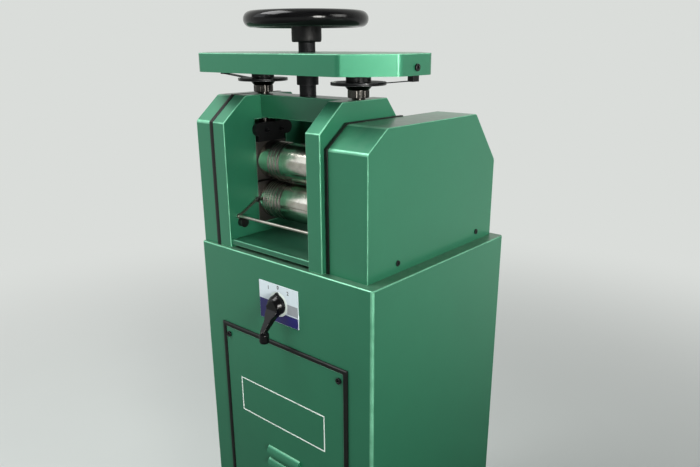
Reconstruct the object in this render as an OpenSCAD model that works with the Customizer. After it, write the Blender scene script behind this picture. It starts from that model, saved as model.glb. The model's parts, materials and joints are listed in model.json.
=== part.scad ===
/* [Cabinet] */
// Width of the cabinet
cabinet_w = 380; // [360:1:460]
// Depth of the cabinet, front to back
cabinet_d = 362; // [355:1:460]
// Height of the cabinet
cabinet_h = 850; // [800:1:950]
// Thickness of the cabinet sheet
cabinet_sheet = 2; // [1.5:0.1:3]
// Outer radius of the folded upright corners
cabinet_corner = 5; // [4:0.5:12]
// Thickness of the base pan
pan_t = 4; // [3:0.5:8]
// Diameter of the anchor holes in the base pan
anchor_d = 12; // [9:0.5:16]
// Distance between anchor holes across the width
anchor_x = 320; // [260:1:330]
// Distance between anchor holes across the depth
anchor_y = 300; // [240:1:310]
// Thickness of the bed plate under the cabinet top
bed_t = 10; // [6:0.5:16]
// Diameter of the hole for the cable gland
gland_d = 20; // [16:0.5:28]
// How far the cable gland stands out at the back
gland_reach = 22; // [18:1:30]
// Height of the cable gland above the floor
gland_z = 120; // [60:1:200]
// Distance of the cable gland from the cabinet's right side
gland_in = 45; // [30:1:120]

/* [Access panel] */
// Width of the access panel
panel_w = 272; // [240:1:300]
// Height of the access panel
panel_h = 614; // [560:1:630]
// Thickness of the access panel
panel_t = 2; // [1.5:0.1:3]
// Distance from the cabinet top down to the panel
panel_drop = 144; // [125:1:150]
// How far the panel laps over the edge of its opening
panel_lap = 24; // [20:1:30]
// Width of the rubber edging round the panel
gasket_w = 8; // [3:0.5:10]
// Depth of the rubber edging round the panel
gasket_t = 4; // [3:0.5:6]
// Diameter of a panel screw
panel_screw_d = 5; // [4:0.5:6]
// Distance from the panel's sides to its screws
panel_screw_in = 8; // [7:0.5:12]
// Distance from the panel's ends to its screws
panel_screw_down = 13; // [12:0.5:20]
// Number of louvres
louvre_count = 6; // [3:1:9]
// Width of a louvre
louvre_w = 76; // [50:1:150]
// Height of a louvre's hood
louvre_h = 14; // [8:0.5:18]
// How far a louvre's hood stands out
louvre_depth = 7; // [4:0.5:12]
// Distance between louvres
louvre_pitch = 25; // [20:0.5:32]
// Distance from the panel's top to the first louvre
louvre_drop = 211; // [150:1:260]

/* [Switch] */
// Width of the switch plate
switch_plate_w = 88; // [70:1:110]
// Height of the switch plate
switch_plate_h = 64; // [56:1:80]
// Thickness of the switch plate
switch_plate_t = 1.5; // [1:0.1:3]
// Distance from the cabinet top down to the switch axis
switch_drop = 68; // [56:1:72]
// Width and height of the switch block behind the sheet
switch_body_w = 58; // [48:1:64]
// Depth of the switch block behind the sheet
switch_body_d = 56; // [40:1:80]
// Diameter of the switch shaft
switch_shaft_d = 8; // [6:0.5:10]
// Diameter of the switch knob
switch_knob_d = 34; // [28:1:40]
// Height of the switch knob
switch_knob_h = 15; // [12:0.5:20]
// How far the lever's grip stands out from the cabinet
lever_reach = 42; // [38:1:60]
// How far the lever's grip hangs below the switch axis
lever_drop = 46; // [40:1:75]
// Diameter of the lever's grip
grip_d = 16; // [14:0.5:22]
// Length of the lever's grip
grip_l = 20; // [20:1:30]
// Width of the lever's arm at the switch axis
lever_root = 26; // [14:0.5:28]
// Width of the lever's arm at its grip
lever_w = 10; // [7:0.5:12]

/* [Mill housing] */
// Clear width between the two columns
opening_w = 180; // [160:1:190]
// Thickness of a column
column_t = 28; // [26:0.5:34]
// Depth of a column, front to back
column_d = 198; // [190:1:210]
// Height of a column
column_h = 244; // [238:1:270]
// Depth of the slope at the column's shoulders
shoulder_d = 48; // [30:1:52]
// Height of the slope at the column's front shoulder
shoulder_h = 40; // [30:1:44]
// Height of the slope at the column's rear shoulder
rear_shoulder_h = 58; // [30:1:66]
// Distance from the cabinet's front to the columns
head_front_gap = 5; // [3:0.5:12]
// Width of the window for the bearing blocks
window_w = 68; // [64:0.5:72]
// Height of the window's sill above the cabinet top
window_low = 30; // [26:0.5:32]
// Thickness of the column above the window
lintel_h = 39; // [34:0.5:42]
// Depth of the bridge between the columns
bridge_d = 40; // [34:0.5:48]
// Height of the bridge
bridge_h = 37; // [30:0.5:37]
// Thickness of the base plate between the columns
base_t = 9; // [6:0.5:12]
// Gap between the base plate and the cabinet top
base_lift = 5; // [3:0.5:7]
// Setback of the base plate behind the columns' front
base_back = 3; // [2:0.5:8]
// Thickness of the rear guard sheet
rear_guard_t = 2.5; // [1.5:0.1:4]
// Height of the rear guard's lower edge above the cabinet top
rear_guard_low = 150; // [140:1:170]
// Distance from the columns' backs to the rear guard
rear_guard_in = 24; // [10:1:40]
// Diameter of the bolts that hold the columns down
column_bolt_d = 10; // [8:0.5:12]

/* [Covers] */
// Distance from the cabinet's left side to the left cover
left_cover_gap = 1; // [1:0.5:6]
// Width of the left cover
left_cover_w = 38; // [30:1:50]
// How far the left cover lies inside the column's outline
left_cover_inset = 1; // [0.5:0.5:10]
// Width of the gear cover
gear_cover_w = 72.5; // [70:0.5:78]
// Distance from the cabinet's front to the gear cover
gear_cover_front = 15; // [12:0.5:18]
// Distance from the cabinet's back to the gear cover
gear_cover_back = 9; // [4:0.5:14]
// Height of the gear cover
gear_cover_h = 214; // [206:1:220]
// Height of the gear cover's front wall
gear_front_h = 183; // [170:1:190]
// Depth of the slope at the gear cover's front
gear_front_slope = 42; // [30:1:50]
// Height of the gear cover's back wall
gear_back_h = 133; // [120:1:160]
// Depth of the slope at the gear cover's back
gear_back_slope = 66; // [50:1:70]
// Thickness of the covers' sheet
cover_sheet = 2; // [1.5:0.1:2.5]
// Width of the rubber trim along the covers' edges
trim_w = 5.5; // [4:0.5:8]
// How far the rubber trim stands out of the covers
trim_proud = 1.5; // [0.5:0.1:2.5]
// Depth of the rubber trim from the covers' outer faces
trim_depth = 4; // [3:0.5:6]
// Diameter of a cover screw
cover_screw_d = 5; // [4:0.5:6]
// Height of the cover screws above the cabinet top
cover_screw_z = 15; // [12:0.5:18]

/* [Rolls] */
// Diameter of the rolls
roll_d = 65; // [60:0.5:66]
// Gap between the rolls as shown
roll_gap = 2; // [1.8:0.1:3]
// Height of the lower roll's axis above the cabinet top
lower_roll_h = 68; // [68:0.5:70]
// Clearance between a roll's ends and the columns
roll_end_gap = 2; // [1:0.5:4]
// Diameter of the roll necks
neck_d = 40; // [34:0.5:44]
// Diameter of the roll shafts that carry the gears
roll_shaft_d = 32; // [26:0.5:33]
// Number of wire grooves
groove_count = 7; // [3:1:9]
// Number of the widest wire grooves that the upper roll has too
upper_groove_count = 4; // [0:1:9]
// Width of the smallest wire groove
groove_min = 2; // [1.5:0.1:3]
// Width added from each wire groove to the next
groove_step = 0.75; // [0.4:0.05:1]
// Flat land between wire grooves
groove_land = 2; // [1:0.1:3]
// Distance from the roll's end to the first wire groove
groove_start = 7; // [4:0.5:12]
// Gap between the upper and lower bearing blocks as shown
block_gap = 3; // [2:0.1:8]

/* [Roll drive] */
// Teeth on each roll gear
roll_gear_n = 14; // [12:1:16]
// Width of the roll gears
roll_gear_w = 20; // [14:0.5:22]
// Teeth on the bull gear
bull_n = 42; // [36:1:42]
// Teeth on the drive pinion
pinion_n = 15; // [14:1:16]
// Module of the bull gear and drive pinion
drive_module = 3; // [2.5:0.05:3.05]
// Width of the bull gear and drive pinion
bull_w = 18; // [14:0.5:18]
// Angle of the drive pinion above the lower roll's axis
pinion_angle = 20; // [16:1:24]
// Diameter of the pinion shaft
pinion_shaft_d = 20; // [16:0.5:22]
// Outer diameter of the driven pulley
driven_pulley_d = 176; // [150:1:178]
// Outer diameter of the drive pulley
drive_pulley_d = 60; // [50:1:80]
// Width of the pulleys
pulley_w = 18; // [16:0.5:19]
// Width of the belt
belt_w = 10; // [8:0.5:12]
// Thickness of the belt
belt_t = 7; // [5:0.5:8]
// Distance from the cabinet top down to the reducer's output shaft
drive_drop = 330; // [300:1:380]
// Diameter of the reducer's output shaft
output_shaft_d = 24; // [20:0.5:28]
// Width of the reducer along the output shaft
reducer_l = 110; // [90:1:130]
// Depth and height of the reducer
reducer_h = 140; // [130:1:170]
// Diameter of the motor
motor_d = 128; // [110:1:129]
// Length of the motor
motor_l = 160; // [120:1:180]
// Number of cooling fins along the motor
motor_fins = 24; // [12:1:30]
// Thickness of the motor shelf
shelf_t = 6; // [4:0.5:10]

/* [Roll adjustment] */
// Length of the top gear case
case_l = 415; // [390:1:430]
// Depth of the top gear case
case_d = 190; // [170:1:220]
// Length of the case's corner cuts
case_corner = 60; // [40:1:64]
// Height of the top gear case
case_h = 29; // [26:0.5:32]
// Height of the case above the column tops
case_lift = 36.5; // [34:0.5:40]
// Wall of the top gear case
case_wall = 3; // [2:0.1:4]
// Thickness of the case's bottom plate
case_plate_t = 6; // [4:0.5:7]
// Teeth on each gear of the top case
case_gear_n = 52; // [40:1:60]
// Thickness of the gears in the top case
case_gear_t = 12; // [8:0.5:13]
// Diameter of the adjusting screws
screw_d = 20; // [18:0.5:21]
// Diameter of the plain sleeve on an adjusting screw
sleeve_d = 31; // [26:0.5:33]
// Diameter of the flare under a dial
flare_d = 43; // [35:0.5:46]
// Height of the flare under a dial
flare_h = 7; // [3:0.5:9]
// Diameter of the neck at an adjusting screw's foot
screw_neck_d = 14; // [11:0.5:15]
// Diameter of a dial disc
dial_d = 82; // [70:1:90]
// Thickness of a dial disc
dial_t = 4.5; // [4:0.5:8]
// Diameter of a dial's hub
dial_hub_d = 36; // [32:0.5:42]
// Length of a lift bracket
lift_bar_l = 82; // [74:1:90]
// Height of a lift bracket
lift_bar_h = 22; // [18:0.5:22]
// Thickness of a lift bracket
lift_bar_t = 8; // [6:0.5:9]
// Diameter of the centre shaft
centre_shaft_d = 26; // [22:0.5:28]
// Diameter of the centre shaft's collar
centre_collar_d = 34; // [30:0.5:40]
// Height of the centre shaft's collar
centre_collar_h = 19; // [14:0.5:20]

/* [Handwheel] */
// Outer diameter of the handwheel
wheel_d = 190; // [160:1:220]
// Thickness of the handwheel's rim
rim_d = 24; // [18:0.5:28]
// Number of spokes
spoke_count = 5; // [3:1:6]
// Width of a spoke
spoke_w = 17; // [12:0.5:20]
// Thickness of a spoke
spoke_t = 9; // [7:0.5:11]
// Diameter of the handwheel's hub
hub_d = 46; // [40:1:52]
// Height of the handwheel's hub
hub_h = 34; // [28:1:36]
// Height of the rim's middle above the hub's underside
rim_lift = 33; // [28:0.5:40]
// Gap between the top gear case and the hub
hub_lift = 15; // [10:0.5:24]
// Diameter of the handwheel's seat on the shaft
wheel_seat_d = 18; // [14:0.5:20]
// Width across the corners of the handwheel's nut
wheel_nut_d = 30; // [26:0.5:34]

/* [Wire guard] */
// Diameter of the guard's cross rod
guard_rod_d = 5; // [4:0.5:7]
// Distance of the cross rod behind the columns' front
guard_rod_back = 19; // [10:0.5:24]
// Height of the cross rod above the cabinet top
guard_rod_h = 51; // [46:0.5:54]
// Distance of the guard's pivot behind the columns' front
guard_pivot_back = 59; // [45:0.5:59]
// Height of the guard's pivot above the cabinet top
guard_pivot_h = 72; // [66:0.5:76]
// Width of a guard arm
guard_arm_w = 4; // [3:0.5:9]
// Thickness of a guard arm
guard_arm_t = 3; // [2.5:0.5:5]
// Diameter of a guard pivot
guard_pivot_d = 5; // [4:0.5:6]
// Wall of the guard's eyes round its pivots and its cross rod
guard_eye_wall = 2; // [1.5:0.25:3]
// Diameter of a guard stop
guard_stop_d = 16; // [10:0.5:18]
// Length of a guard stop
guard_stop_l = 10; // [5:0.5:12]

/* [Hidden] */
$fn = 64;

// Finishes
enamel = "#3a765a";
black = "#161616";
steel = "#b9bcbd";
dark_steel = "#4a4d4f";
bronze = "#a87b42";
rubber = "#1d1d1d";

// Clearances
run_fit = 0.05;
seat_gap = 0.2;
slide_gap = 0.3;
eps = 1;

// Cabinet: the origin is the middle of its base, on the floor
left_x = -cabinet_w / 2;
right_x = cabinet_w / 2;
front_y = -cabinet_d / 2;
back_y = cabinet_d / 2;
top_z = cabinet_h;

// Mill housing
head_x = left_x + left_cover_gap + left_cover_w + trim_w + column_t + opening_w / 2;
in_left = head_x - opening_w / 2;
in_right = head_x + opening_w / 2;
out_left = in_left - column_t;
out_right = in_right + column_t;
column_x = (opening_w + column_t) / 2;
column_front = front_y + head_front_gap;
column_back = column_front + column_d;
roll_y = column_front + column_d / 2;
column_top = top_z + column_h;
window_top = column_top - lintel_h;
column_bolt_edge = 30;
column_bolt_y = column_d / 2 - column_bolt_edge;
column_bolt_in = 22;
bolt_head = 1.6;

// Rolls and bearing blocks
lower_z = top_z + lower_roll_h;
upper_z = lower_z + roll_d + roll_gap;
roll_l = opening_w - 2 * roll_end_gap;
neck_out = 4;
block_w = window_w - 2 * slide_gap;
block_h = roll_d + roll_gap - block_gap;
upper_block_top = upper_z + block_h / 2;
gear_side_gap = 4;
gear_between = 3;
roll_gear_x = out_right + gear_side_gap;
bull_x = roll_gear_x + roll_gear_w + gear_between;
lower_shaft_end = bull_x + bull_w + gear_between;
upper_shaft_end = roll_gear_x + roll_gear_w + gear_between / 3;

// Roll drive
pressure = 20;
tooth_share = 0.4;
roll_tooth_share = 0.35;
least_roll_gap = 0.3;
roll_gear_r = (roll_d + least_roll_gap) / 2;
roll_addendum = 4.5;
roll_dedendum = 5.6;
bull_r = drive_module * bull_n / 2;
pinion_r = drive_module * pinion_n / 2;
pinion_y = roll_y + (bull_r + pinion_r) * cos(pinion_angle);
pinion_z = lower_z + (bull_r + pinion_r) * sin(pinion_angle);
pulley_x = lower_shaft_end + gear_between / 3;
shaft_past = 1;
pinion_end = pulley_x + pulley_w + shaft_past;
drive_z = top_z - drive_drop;
belt_x = pulley_x + (pulley_w - belt_w) / 2;
belt_slot_gap = 8;
reducer_gap = 6;
reducer_x = pulley_x - reducer_gap - reducer_l;
reducer_foot_h = (reducer_h - motor_d) / 2;
shelf_z = drive_z - reducer_h / 2;
output_in = 60;

// Gear cover outline
cover_x = out_right + trim_w;
cover_right = cover_x + gear_cover_w;
left_cover_x = left_x + left_cover_gap;
cover_block = [14, 16, 24];
gear_screw_front = 84;
gear_screw_back = 58;
gear_screw_y = [front_y + gear_screw_front, back_y - gear_screw_back];
left_screw_out = 60;
left_screw_y = [roll_y - left_screw_out, roll_y + left_screw_out];

// Roll adjustment
case_screw_d = 5;
case_screw_head = 2.5;
case_z = column_top + case_lift;
case_top = case_z + case_h;
plate_inset = case_wall + seat_gap;
case_end = [24, 60, 18];
case_gear_r = column_x / 2;
case_gear_z = case_z + case_plate_t + slide_gap;
sleeve_gap = 2;
left_trim_top = column_top - left_cover_inset + trim_proud;
sleeve_low = max(column_top, left_trim_top) + sleeve_gap;
dial_drop = 16;
dial_z = case_z - dial_drop;
dial_hub_h = case_z - slide_gap - dial_z;
foot_pad_lip = 1;
foot_pad_d = screw_d + 2 * foot_pad_lip;
foot_pad_h = 5;
foot_pocket_h = 6;
lift_gap = 10;
lift_low = upper_block_top + lift_gap;
lift_block_under = 4;
lift_block_top = lift_low + lift_bar_h - lift_block_under;
lift_block_side = 5;
lift_block_w = window_w - 2 * lift_block_side;
bracket_bolt_d = 8;
bracket_bolt_y = 16;
bracket_bolt_drop = 2;
pointer_w = 12;
pointer_t = 1.5;
pointer_foot = [9, 14, 8];
pointer_end_in = 1;
pointer_tip_gap = 1;
shaft_foot_up = 9;
shaft_low = column_top - bridge_h + shaft_foot_up;

// Handwheel
hub_z = case_top + hub_lift;
rim_r = (wheel_d - rim_d) / 2;
rim_z = hub_z + rim_lift;
wheel_nut_h = 11;
wheel_nut_room = 2;

// Access panel and switch
panel_high = top_z - panel_drop;
panel_low = panel_high - panel_h;
panel_face = front_y - panel_t;
switch_z = top_z - switch_drop;
switch_bush_wall = 4;
switch_bush_d = switch_shaft_d + 2 * switch_bush_wall;
switch_nose = 21;
switch_nose_t = 5;
grip_edge = 4;

// Wire guard
pivot_y = column_front + guard_pivot_back;
pivot_z = top_z + guard_pivot_h;
rod_y = column_front + guard_rod_back;
rod_z = top_z + guard_rod_h;
guard_side_gap = 0.5;
guard_head_h = 3;
guard_head_lip = 1.5;
pivot_eye_d = guard_pivot_d + 2 * guard_eye_wall;
rod_eye_d = guard_rod_d + 2 * guard_eye_wall;
guard_run = norm([rod_y - pivot_y, rod_z - pivot_z]);
arm_dir = [rod_y - pivot_y, rod_z - pivot_z] / guard_run;
arm_under = [-arm_dir.y, arm_dir.x];
stop_mid = [rod_y, rod_z]
    + (max(guard_arm_w, rod_eye_d) / 2 + guard_stop_d / 2 + seat_gap) * arm_under;

// Outline of a column in depth and height
function column_outline(low) = [
    [column_front, low], [column_back, low],
    [column_back, column_top - rear_shoulder_h], [column_back - shoulder_d, column_top],
    [column_front + shoulder_d, column_top], [column_front, column_top - shoulder_h]
];

// Outline of the gear cover in depth and height
function gear_cover_outline(low) = let (y0 = front_y + gear_cover_front, y1 = back_y - gear_cover_back) [
    [y0, low], [y1, low],
    [y1, top_z + gear_back_h], [y1 - gear_back_slope, top_z + gear_cover_h],
    [y0 + gear_front_slope, top_z + gear_cover_h], [y0, top_z + gear_front_h]
];

// Outline of the left cover: the column's outline drawn in
function left_cover_outline(low) = inset(column_outline(low - left_cover_inset), left_cover_inset);

// An outline of anticlockwise points drawn in by a distance
function side_normal(a, b) = [a.y - b.y, b.x - a.x] / norm(b - a);
function inset(points, d) = [
    for (i = [0:len(points) - 1])
        let (
            n = len(points),
            before = side_normal(points[(i + n - 1) % n], points[i]),
            after = side_normal(points[i], points[(i + 1) % n])
        )
        points[i] + d * (before + after) / (1 + before * after)
];

// Outline of the top gear case, with its corners cut
function case_outline(l, d, c) = [
    [-l / 2 + c, -d / 2], [l / 2 - c, -d / 2], [l / 2, -d / 2 + c], [l / 2, d / 2 - c],
    [l / 2 - c, d / 2], [-l / 2 + c, d / 2], [-l / 2, d / 2 - c], [-l / 2, -d / 2 + c]
];

// Half of a gear tooth's angle at a radius, for straight flanks
function tooth_half(r, n, pitch_r, share) =
    (pitch_r * share * PI / n - (r - pitch_r) * tan(pressure)) / r * 180 / PI;
function polar(r, a) = [r * cos(a), r * sin(a)];
function gear_outline(n, pitch_r, addendum, dedendum, share = tooth_share) = [
    for (i = [0:n - 1])
        let (
            a = 360 * i / n,
            tip = pitch_r + addendum,
            root = pitch_r - dedendum,
            tip_half = tooth_half(tip, n, pitch_r, share),
            root_half = tooth_half(root, n, pitch_r, share)
        )
        each [
            polar(root, a - root_half), polar(tip, a - tip_half),
            polar(tip, a + tip_half), polar(root, a + root_half)
        ]
];

// Width of a wire groove, and where it starts along the roll
function groove_w(i) = groove_min + i * groove_step;
function groove_x(i) = i == 0 ? groove_start : groove_x(i - 1) + groove_w(i - 1) + groove_land;

// A flat shape in depth and height, drawn out along X
module along_x(x, l) {
    translate([x, 0, 0])
        rotate([90, 0, 90])
            linear_extrude(l)
                children();
}

// A flat shape in width and height, drawn out along Y
module along_y(y, l) {
    translate([0, y + l, 0])
        rotate([90, 0, 0])
            linear_extrude(l)
                children();
}

module rod_x(x, l, d, y, z) {
    translate([x, y, z])
        rotate([0, 90, 0])
            cylinder(h = l, d = d);
}

module rod_y(y, l, d, x, z) {
    translate([x, y, z])
        rotate([-90, 0, 0])
            cylinder(h = l, d = d);
}

module rounded_plan(w, d, r) {
    square([w - 2 * r, d], center = true);
    square([w, d - 2 * r], center = true);
    for (x = [-1, 1], y = [-1, 1])
        translate([x * (w / 2 - r), y * (d / 2 - r)])
            circle(r);
}

// A cap screw along -Z with its head's underside at the origin
module cap_screw(d, head_d, head_h, l) {
    difference() {
        cylinder(h = head_h, d = head_d);
        translate([0, 0, head_h / 2])
            cylinder(h = head_h, d = head_d * 0.55, $fn = 6);
    }
    translate([0, 0, -l])
        cylinder(h = l + head_h / 4, d = d);
}

// A belt's run round two pulleys in depth and height: a big one above a small one
module belt_run(r_big, r_small) {
    drop = pinion_z - drive_z;
    lean = asin((r_big - r_small) / drop);
    translate([pinion_y, pinion_z])
        circle(r_big);
    translate([pinion_y, drive_z])
        circle(r_small);
    polygon([
        [pinion_y - r_big * cos(lean), pinion_z - r_big * sin(lean)],
        [pinion_y - r_small * cos(lean), drive_z - r_small * sin(lean)],
        [pinion_y + r_small * cos(lean), drive_z - r_small * sin(lean)],
        [pinion_y + r_big * cos(lean), pinion_z - r_big * sin(lean)]
    ]);
}

module at_panel_screws() {
    rows = 3;
    run = panel_h - 2 * panel_screw_down;
    for (x = [-1, 1], i = [0:rows - 1])
        translate([
            x * (panel_w / 2 - panel_screw_in), panel_face,
            panel_low + panel_screw_down + i * run / (rows - 1)
        ])
            rotate([90, 0, 0])
                children();
}

module at_column_bolts() {
    for (x = [-1, 1], y = [-1, 1])
        translate([head_x + x * column_x, roll_y + y * column_bolt_y, 0])
            children();
}

module at_cover_screws() {
    for (y = gear_screw_y)
        translate([cover_right, y, top_z + cover_screw_z])
            rotate([0, 90, 0])
                children();
    for (y = left_screw_y)
        translate([left_cover_x, y, top_z + cover_screw_z])
            rotate([0, -90, 0])
                children();
}

module cabinet_shell() {
    slot_r = driven_pulley_d / 2 + belt_slot_gap;
    color(enamel)
        difference() {
            linear_extrude(cabinet_h)
                rounded_plan(cabinet_w, cabinet_d, cabinet_corner);
            translate([0, 0, -eps])
                linear_extrude(cabinet_h - cabinet_sheet + eps)
                    rounded_plan(
                        cabinet_w - 2 * cabinet_sheet, cabinet_d - 2 * cabinet_sheet,
                        cabinet_corner - cabinet_sheet
                    );
            translate([-panel_w / 2 + panel_lap, front_y - eps, panel_low + panel_lap])
                cube([panel_w - 2 * panel_lap, cabinet_sheet + 2 * eps, panel_h - 2 * panel_lap]);
            at_panel_screws()
                translate([0, 0, -panel_t - cabinet_sheet - eps])
                    cylinder(h = panel_t + cabinet_sheet + 2 * eps, d = panel_screw_d + 2 * seat_gap);
            rod_y(front_y - eps, cabinet_sheet + 2 * eps, switch_bush_d, 0, switch_z);
            rod_y(
                back_y - cabinet_sheet - eps, cabinet_sheet + 2 * eps, gland_d + 2 * seat_gap,
                right_x - gland_in, gland_z
            );
            at_column_bolts()
                translate([0, 0, top_z - cabinet_sheet - eps])
                    cylinder(h = cabinet_sheet + 2 * eps, d = column_bolt_d + 2 * seat_gap);
            translate([belt_x - belt_slot_gap, pinion_y - slot_r, top_z - cabinet_sheet - eps])
                cube([belt_w + 2 * belt_slot_gap, 2 * slot_r, cabinet_sheet + 2 * eps]);
        }
}

module base_pan() {
    gap = cabinet_sheet + seat_gap;
    color(enamel)
        difference() {
            linear_extrude(pan_t)
                rounded_plan(cabinet_w - 2 * gap, cabinet_d - 2 * gap, cabinet_corner - cabinet_sheet);
            for (x = [-1, 1], y = [-1, 1])
                translate([x * anchor_x / 2, y * anchor_y / 2, -eps])
                    cylinder(h = pan_t + 2 * eps, d = anchor_d);
        }
}

module bed_plate() {
    color(dark_steel)
        difference() {
            translate([out_left, column_front, top_z - cabinet_sheet - bed_t])
                cube([out_right - out_left, column_d, bed_t]);
            at_column_bolts()
                translate([0, 0, top_z - cabinet_sheet - bed_t - eps])
                    cylinder(h = bed_t + 2 * eps, d = column_bolt_d + 2 * seat_gap);
        }
}

module cable_gland() {
    nut_h = 6;
    collar_h = 8;
    bore_d = gland_d / 2;
    color(black)
        translate([right_x - gland_in, back_y, gland_z])
            rotate([-90, 0, 0])
                difference() {
                    union() {
                        cylinder(h = collar_h, d = gland_d * 1.5, $fn = 6);
                        cylinder(h = gland_reach, d = gland_d * 1.15);
                        translate([0, 0, -cabinet_sheet - nut_h])
                            cylinder(h = cabinet_sheet + nut_h + eps, d = gland_d);
                        translate([0, 0, -cabinet_sheet - nut_h])
                            cylinder(h = nut_h, d = gland_d * 1.5, $fn = 6);
                    }
                    translate([0, 0, -cabinet_sheet - nut_h - eps])
                        cylinder(h = gland_reach + cabinet_sheet + nut_h + 2 * eps, d = bore_d);
                }
}

// A louvre's hood in depth and height, a quarter round that opens downwards
module louvre_outline(depth, h) {
    steps = 8;
    polygon(concat(
        [[0, 0]],
        [for (i = [0:steps]) let (a = 90 * i / steps) [-depth * sin(a), h * cos(a)]]
    ));
}

module access_panel() {
    color(enamel)
        difference() {
            union() {
                translate([-panel_w / 2, panel_face, panel_low])
                    cube([panel_w, panel_t, panel_h]);
                for (i = [0:louvre_count - 1])
                    along_x(-louvre_w / 2, louvre_w)
                        translate([panel_face + panel_t / 2, panel_high - louvre_drop - i * louvre_pitch])
                            louvre_outline(louvre_depth + panel_t / 2, louvre_h);
            }
            for (i = [0:louvre_count - 1])
                along_x(-louvre_w / 2 + panel_t, louvre_w - 2 * panel_t)
                    translate([front_y + eps, panel_high - louvre_drop - i * louvre_pitch - eps])
                        louvre_outline(louvre_depth + eps, louvre_h - panel_t + eps);
            at_panel_screws()
                translate([0, 0, -panel_t - eps])
                    cylinder(h = panel_t + 2 * eps, d = panel_screw_d + 2 * seat_gap);
        }
}

module panel_gasket() {
    gap = seat_gap / 2;
    color(rubber)
        difference() {
            translate([-panel_w / 2 - gasket_w, front_y - gasket_t, panel_low - gasket_w])
                cube([panel_w + 2 * gasket_w, gasket_t, panel_h + 2 * gasket_w]);
            translate([-panel_w / 2 - gap, front_y - gasket_t - eps, panel_low - gap])
                cube([panel_w + 2 * gap, gasket_t + 2 * eps, panel_h + 2 * gap]);
        }
}

module panel_screws() {
    head_h = 3;
    past_sheet = 8;
    color(black)
        at_panel_screws()
            cap_screw(panel_screw_d, 2 * panel_screw_d, head_h, panel_t + cabinet_sheet + past_sheet);
}

module switch_plate() {
    color("white")
        difference() {
            translate([-switch_plate_w / 2, front_y - switch_plate_t, switch_z - switch_plate_h / 2])
                cube([switch_plate_w, switch_plate_t, switch_plate_h]);
            rod_y(front_y - switch_plate_t - eps, switch_plate_t + 2 * eps, switch_bush_d, 0, switch_z);
        }
}

module switch_body() {
    color(black)
        difference() {
            translate([-switch_body_w / 2, front_y + cabinet_sheet, switch_z - switch_body_w / 2])
                cube([switch_body_w, switch_body_d, switch_body_w]);
            rod_y(front_y, cabinet_sheet + switch_body_d / 2, switch_shaft_d + 2 * run_fit, 0, switch_z);
        }
}

module switch_lever() {
    knob_back = front_y - switch_plate_t - slide_gap;
    knob_front = knob_back - switch_knob_h;
    knob_r = switch_knob_d / 2;
    arm_back = knob_back - slide_gap;
    grip_r = grip_d / 2;
    grip_y = front_y - lever_reach + grip_r;
    grip_z = switch_z - lever_drop;
    color(black) {
        translate([0, knob_back, switch_z])
            rotate([90, 0, 0])
                rotate_extrude()
                    polygon([
                        [0, 0], [knob_r, 0], [knob_r * 0.94, switch_knob_h * 0.45],
                        [knob_r * 0.72, switch_knob_h * 0.85], [knob_r * 0.52, switch_knob_h],
                        [0, switch_knob_h]
                    ]);
        along_y(knob_back - switch_nose_t, switch_nose_t)
            translate([0, switch_z])
                polygon([
                    [-switch_nose / 2, switch_nose / 2], [switch_nose / 2, switch_nose / 2], [0, switch_nose]
                ]);
        intersection() {
            along_x(-knob_r, 2 * knob_r)
                polygon([
                    [knob_front, switch_z + lever_w / 2], [arm_back, switch_z + lever_w / 2],
                    [arm_back, switch_z - lever_w], [grip_y + lever_w / 2, grip_z + grip_l / 2],
                    [grip_y - lever_w / 2, grip_z + grip_l / 2], [knob_front, switch_z - lever_w / 2]
                ]);
            along_y(front_y - lever_reach, lever_reach)
                polygon([
                    [-lever_w / 2, grip_z], [lever_w / 2, grip_z], [lever_root / 2, switch_z],
                    [lever_w / 2, switch_z + lever_w / 2], [-lever_w / 2, switch_z + lever_w / 2],
                    [-lever_root / 2, switch_z]
                ]);
        }
        translate([0, grip_y, grip_z - grip_l / 2])
            rotate_extrude()
                polygon([
                    [0, 0], [grip_r - grip_edge, 0], [grip_r - grip_edge / 4, grip_edge / 3],
                    [grip_r, grip_edge], [grip_r, grip_l - grip_edge], [grip_r - grip_edge / 2, grip_l],
                    [0, grip_l]
                ]);
        rod_y(
            arm_back, front_y + cabinet_sheet + switch_body_d / 2 - slide_gap - arm_back, switch_shaft_d,
            0, switch_z
        );
    }
}

module motor_shelf() {
    gap = cabinet_sheet + seat_gap;
    color(dark_steel)
        translate([0, 0, shelf_z - shelf_t])
            linear_extrude(shelf_t)
                rounded_plan(cabinet_w - 2 * gap, cabinet_d - 2 * gap, cabinet_corner - cabinet_sheet);
}

module motor() {
    fan_l = 36;
    fin_h = 7;
    fin_t = 3;
    foot_l = 90;
    color("#5d6a70") {
        rod_x(reducer_x - motor_l, motor_l, motor_d - 2 * fin_h, pinion_y, drive_z);
        rod_x(reducer_x - motor_l, fan_l, motor_d, pinion_y, drive_z);
        along_x(reducer_x - motor_l + fan_l, motor_l - fan_l - fin_h)
            translate([pinion_y, drive_z])
                for (i = [0:motor_fins - 1])
                    rotate(360 * i / motor_fins)
                        translate([motor_d / 2 - 2 * fin_h, -fin_t / 2])
                            square([2 * fin_h, fin_t]);
        translate([reducer_x - motor_l + fan_l, pinion_y - motor_d / 4, shelf_z])
            cube([foot_l, motor_d / 2, reducer_foot_h + 2 * fin_h]);
    }
}

module gear_reducer() {
    boss_h = 10;
    color("#5d6a70")
        difference() {
            union() {
                translate([reducer_x, pinion_y - reducer_h / 2, shelf_z])
                    cube([reducer_l - boss_h, reducer_h, reducer_h]);
                rod_x(
                    reducer_x + reducer_l - 2 * boss_h, 2 * boss_h, 2.2 * output_shaft_d, pinion_y, drive_z
                );
            }
            rod_x(
                reducer_x + reducer_l - output_in, output_in + eps, output_shaft_d + 2 * run_fit,
                pinion_y, drive_z
            );
        }
}

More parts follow.
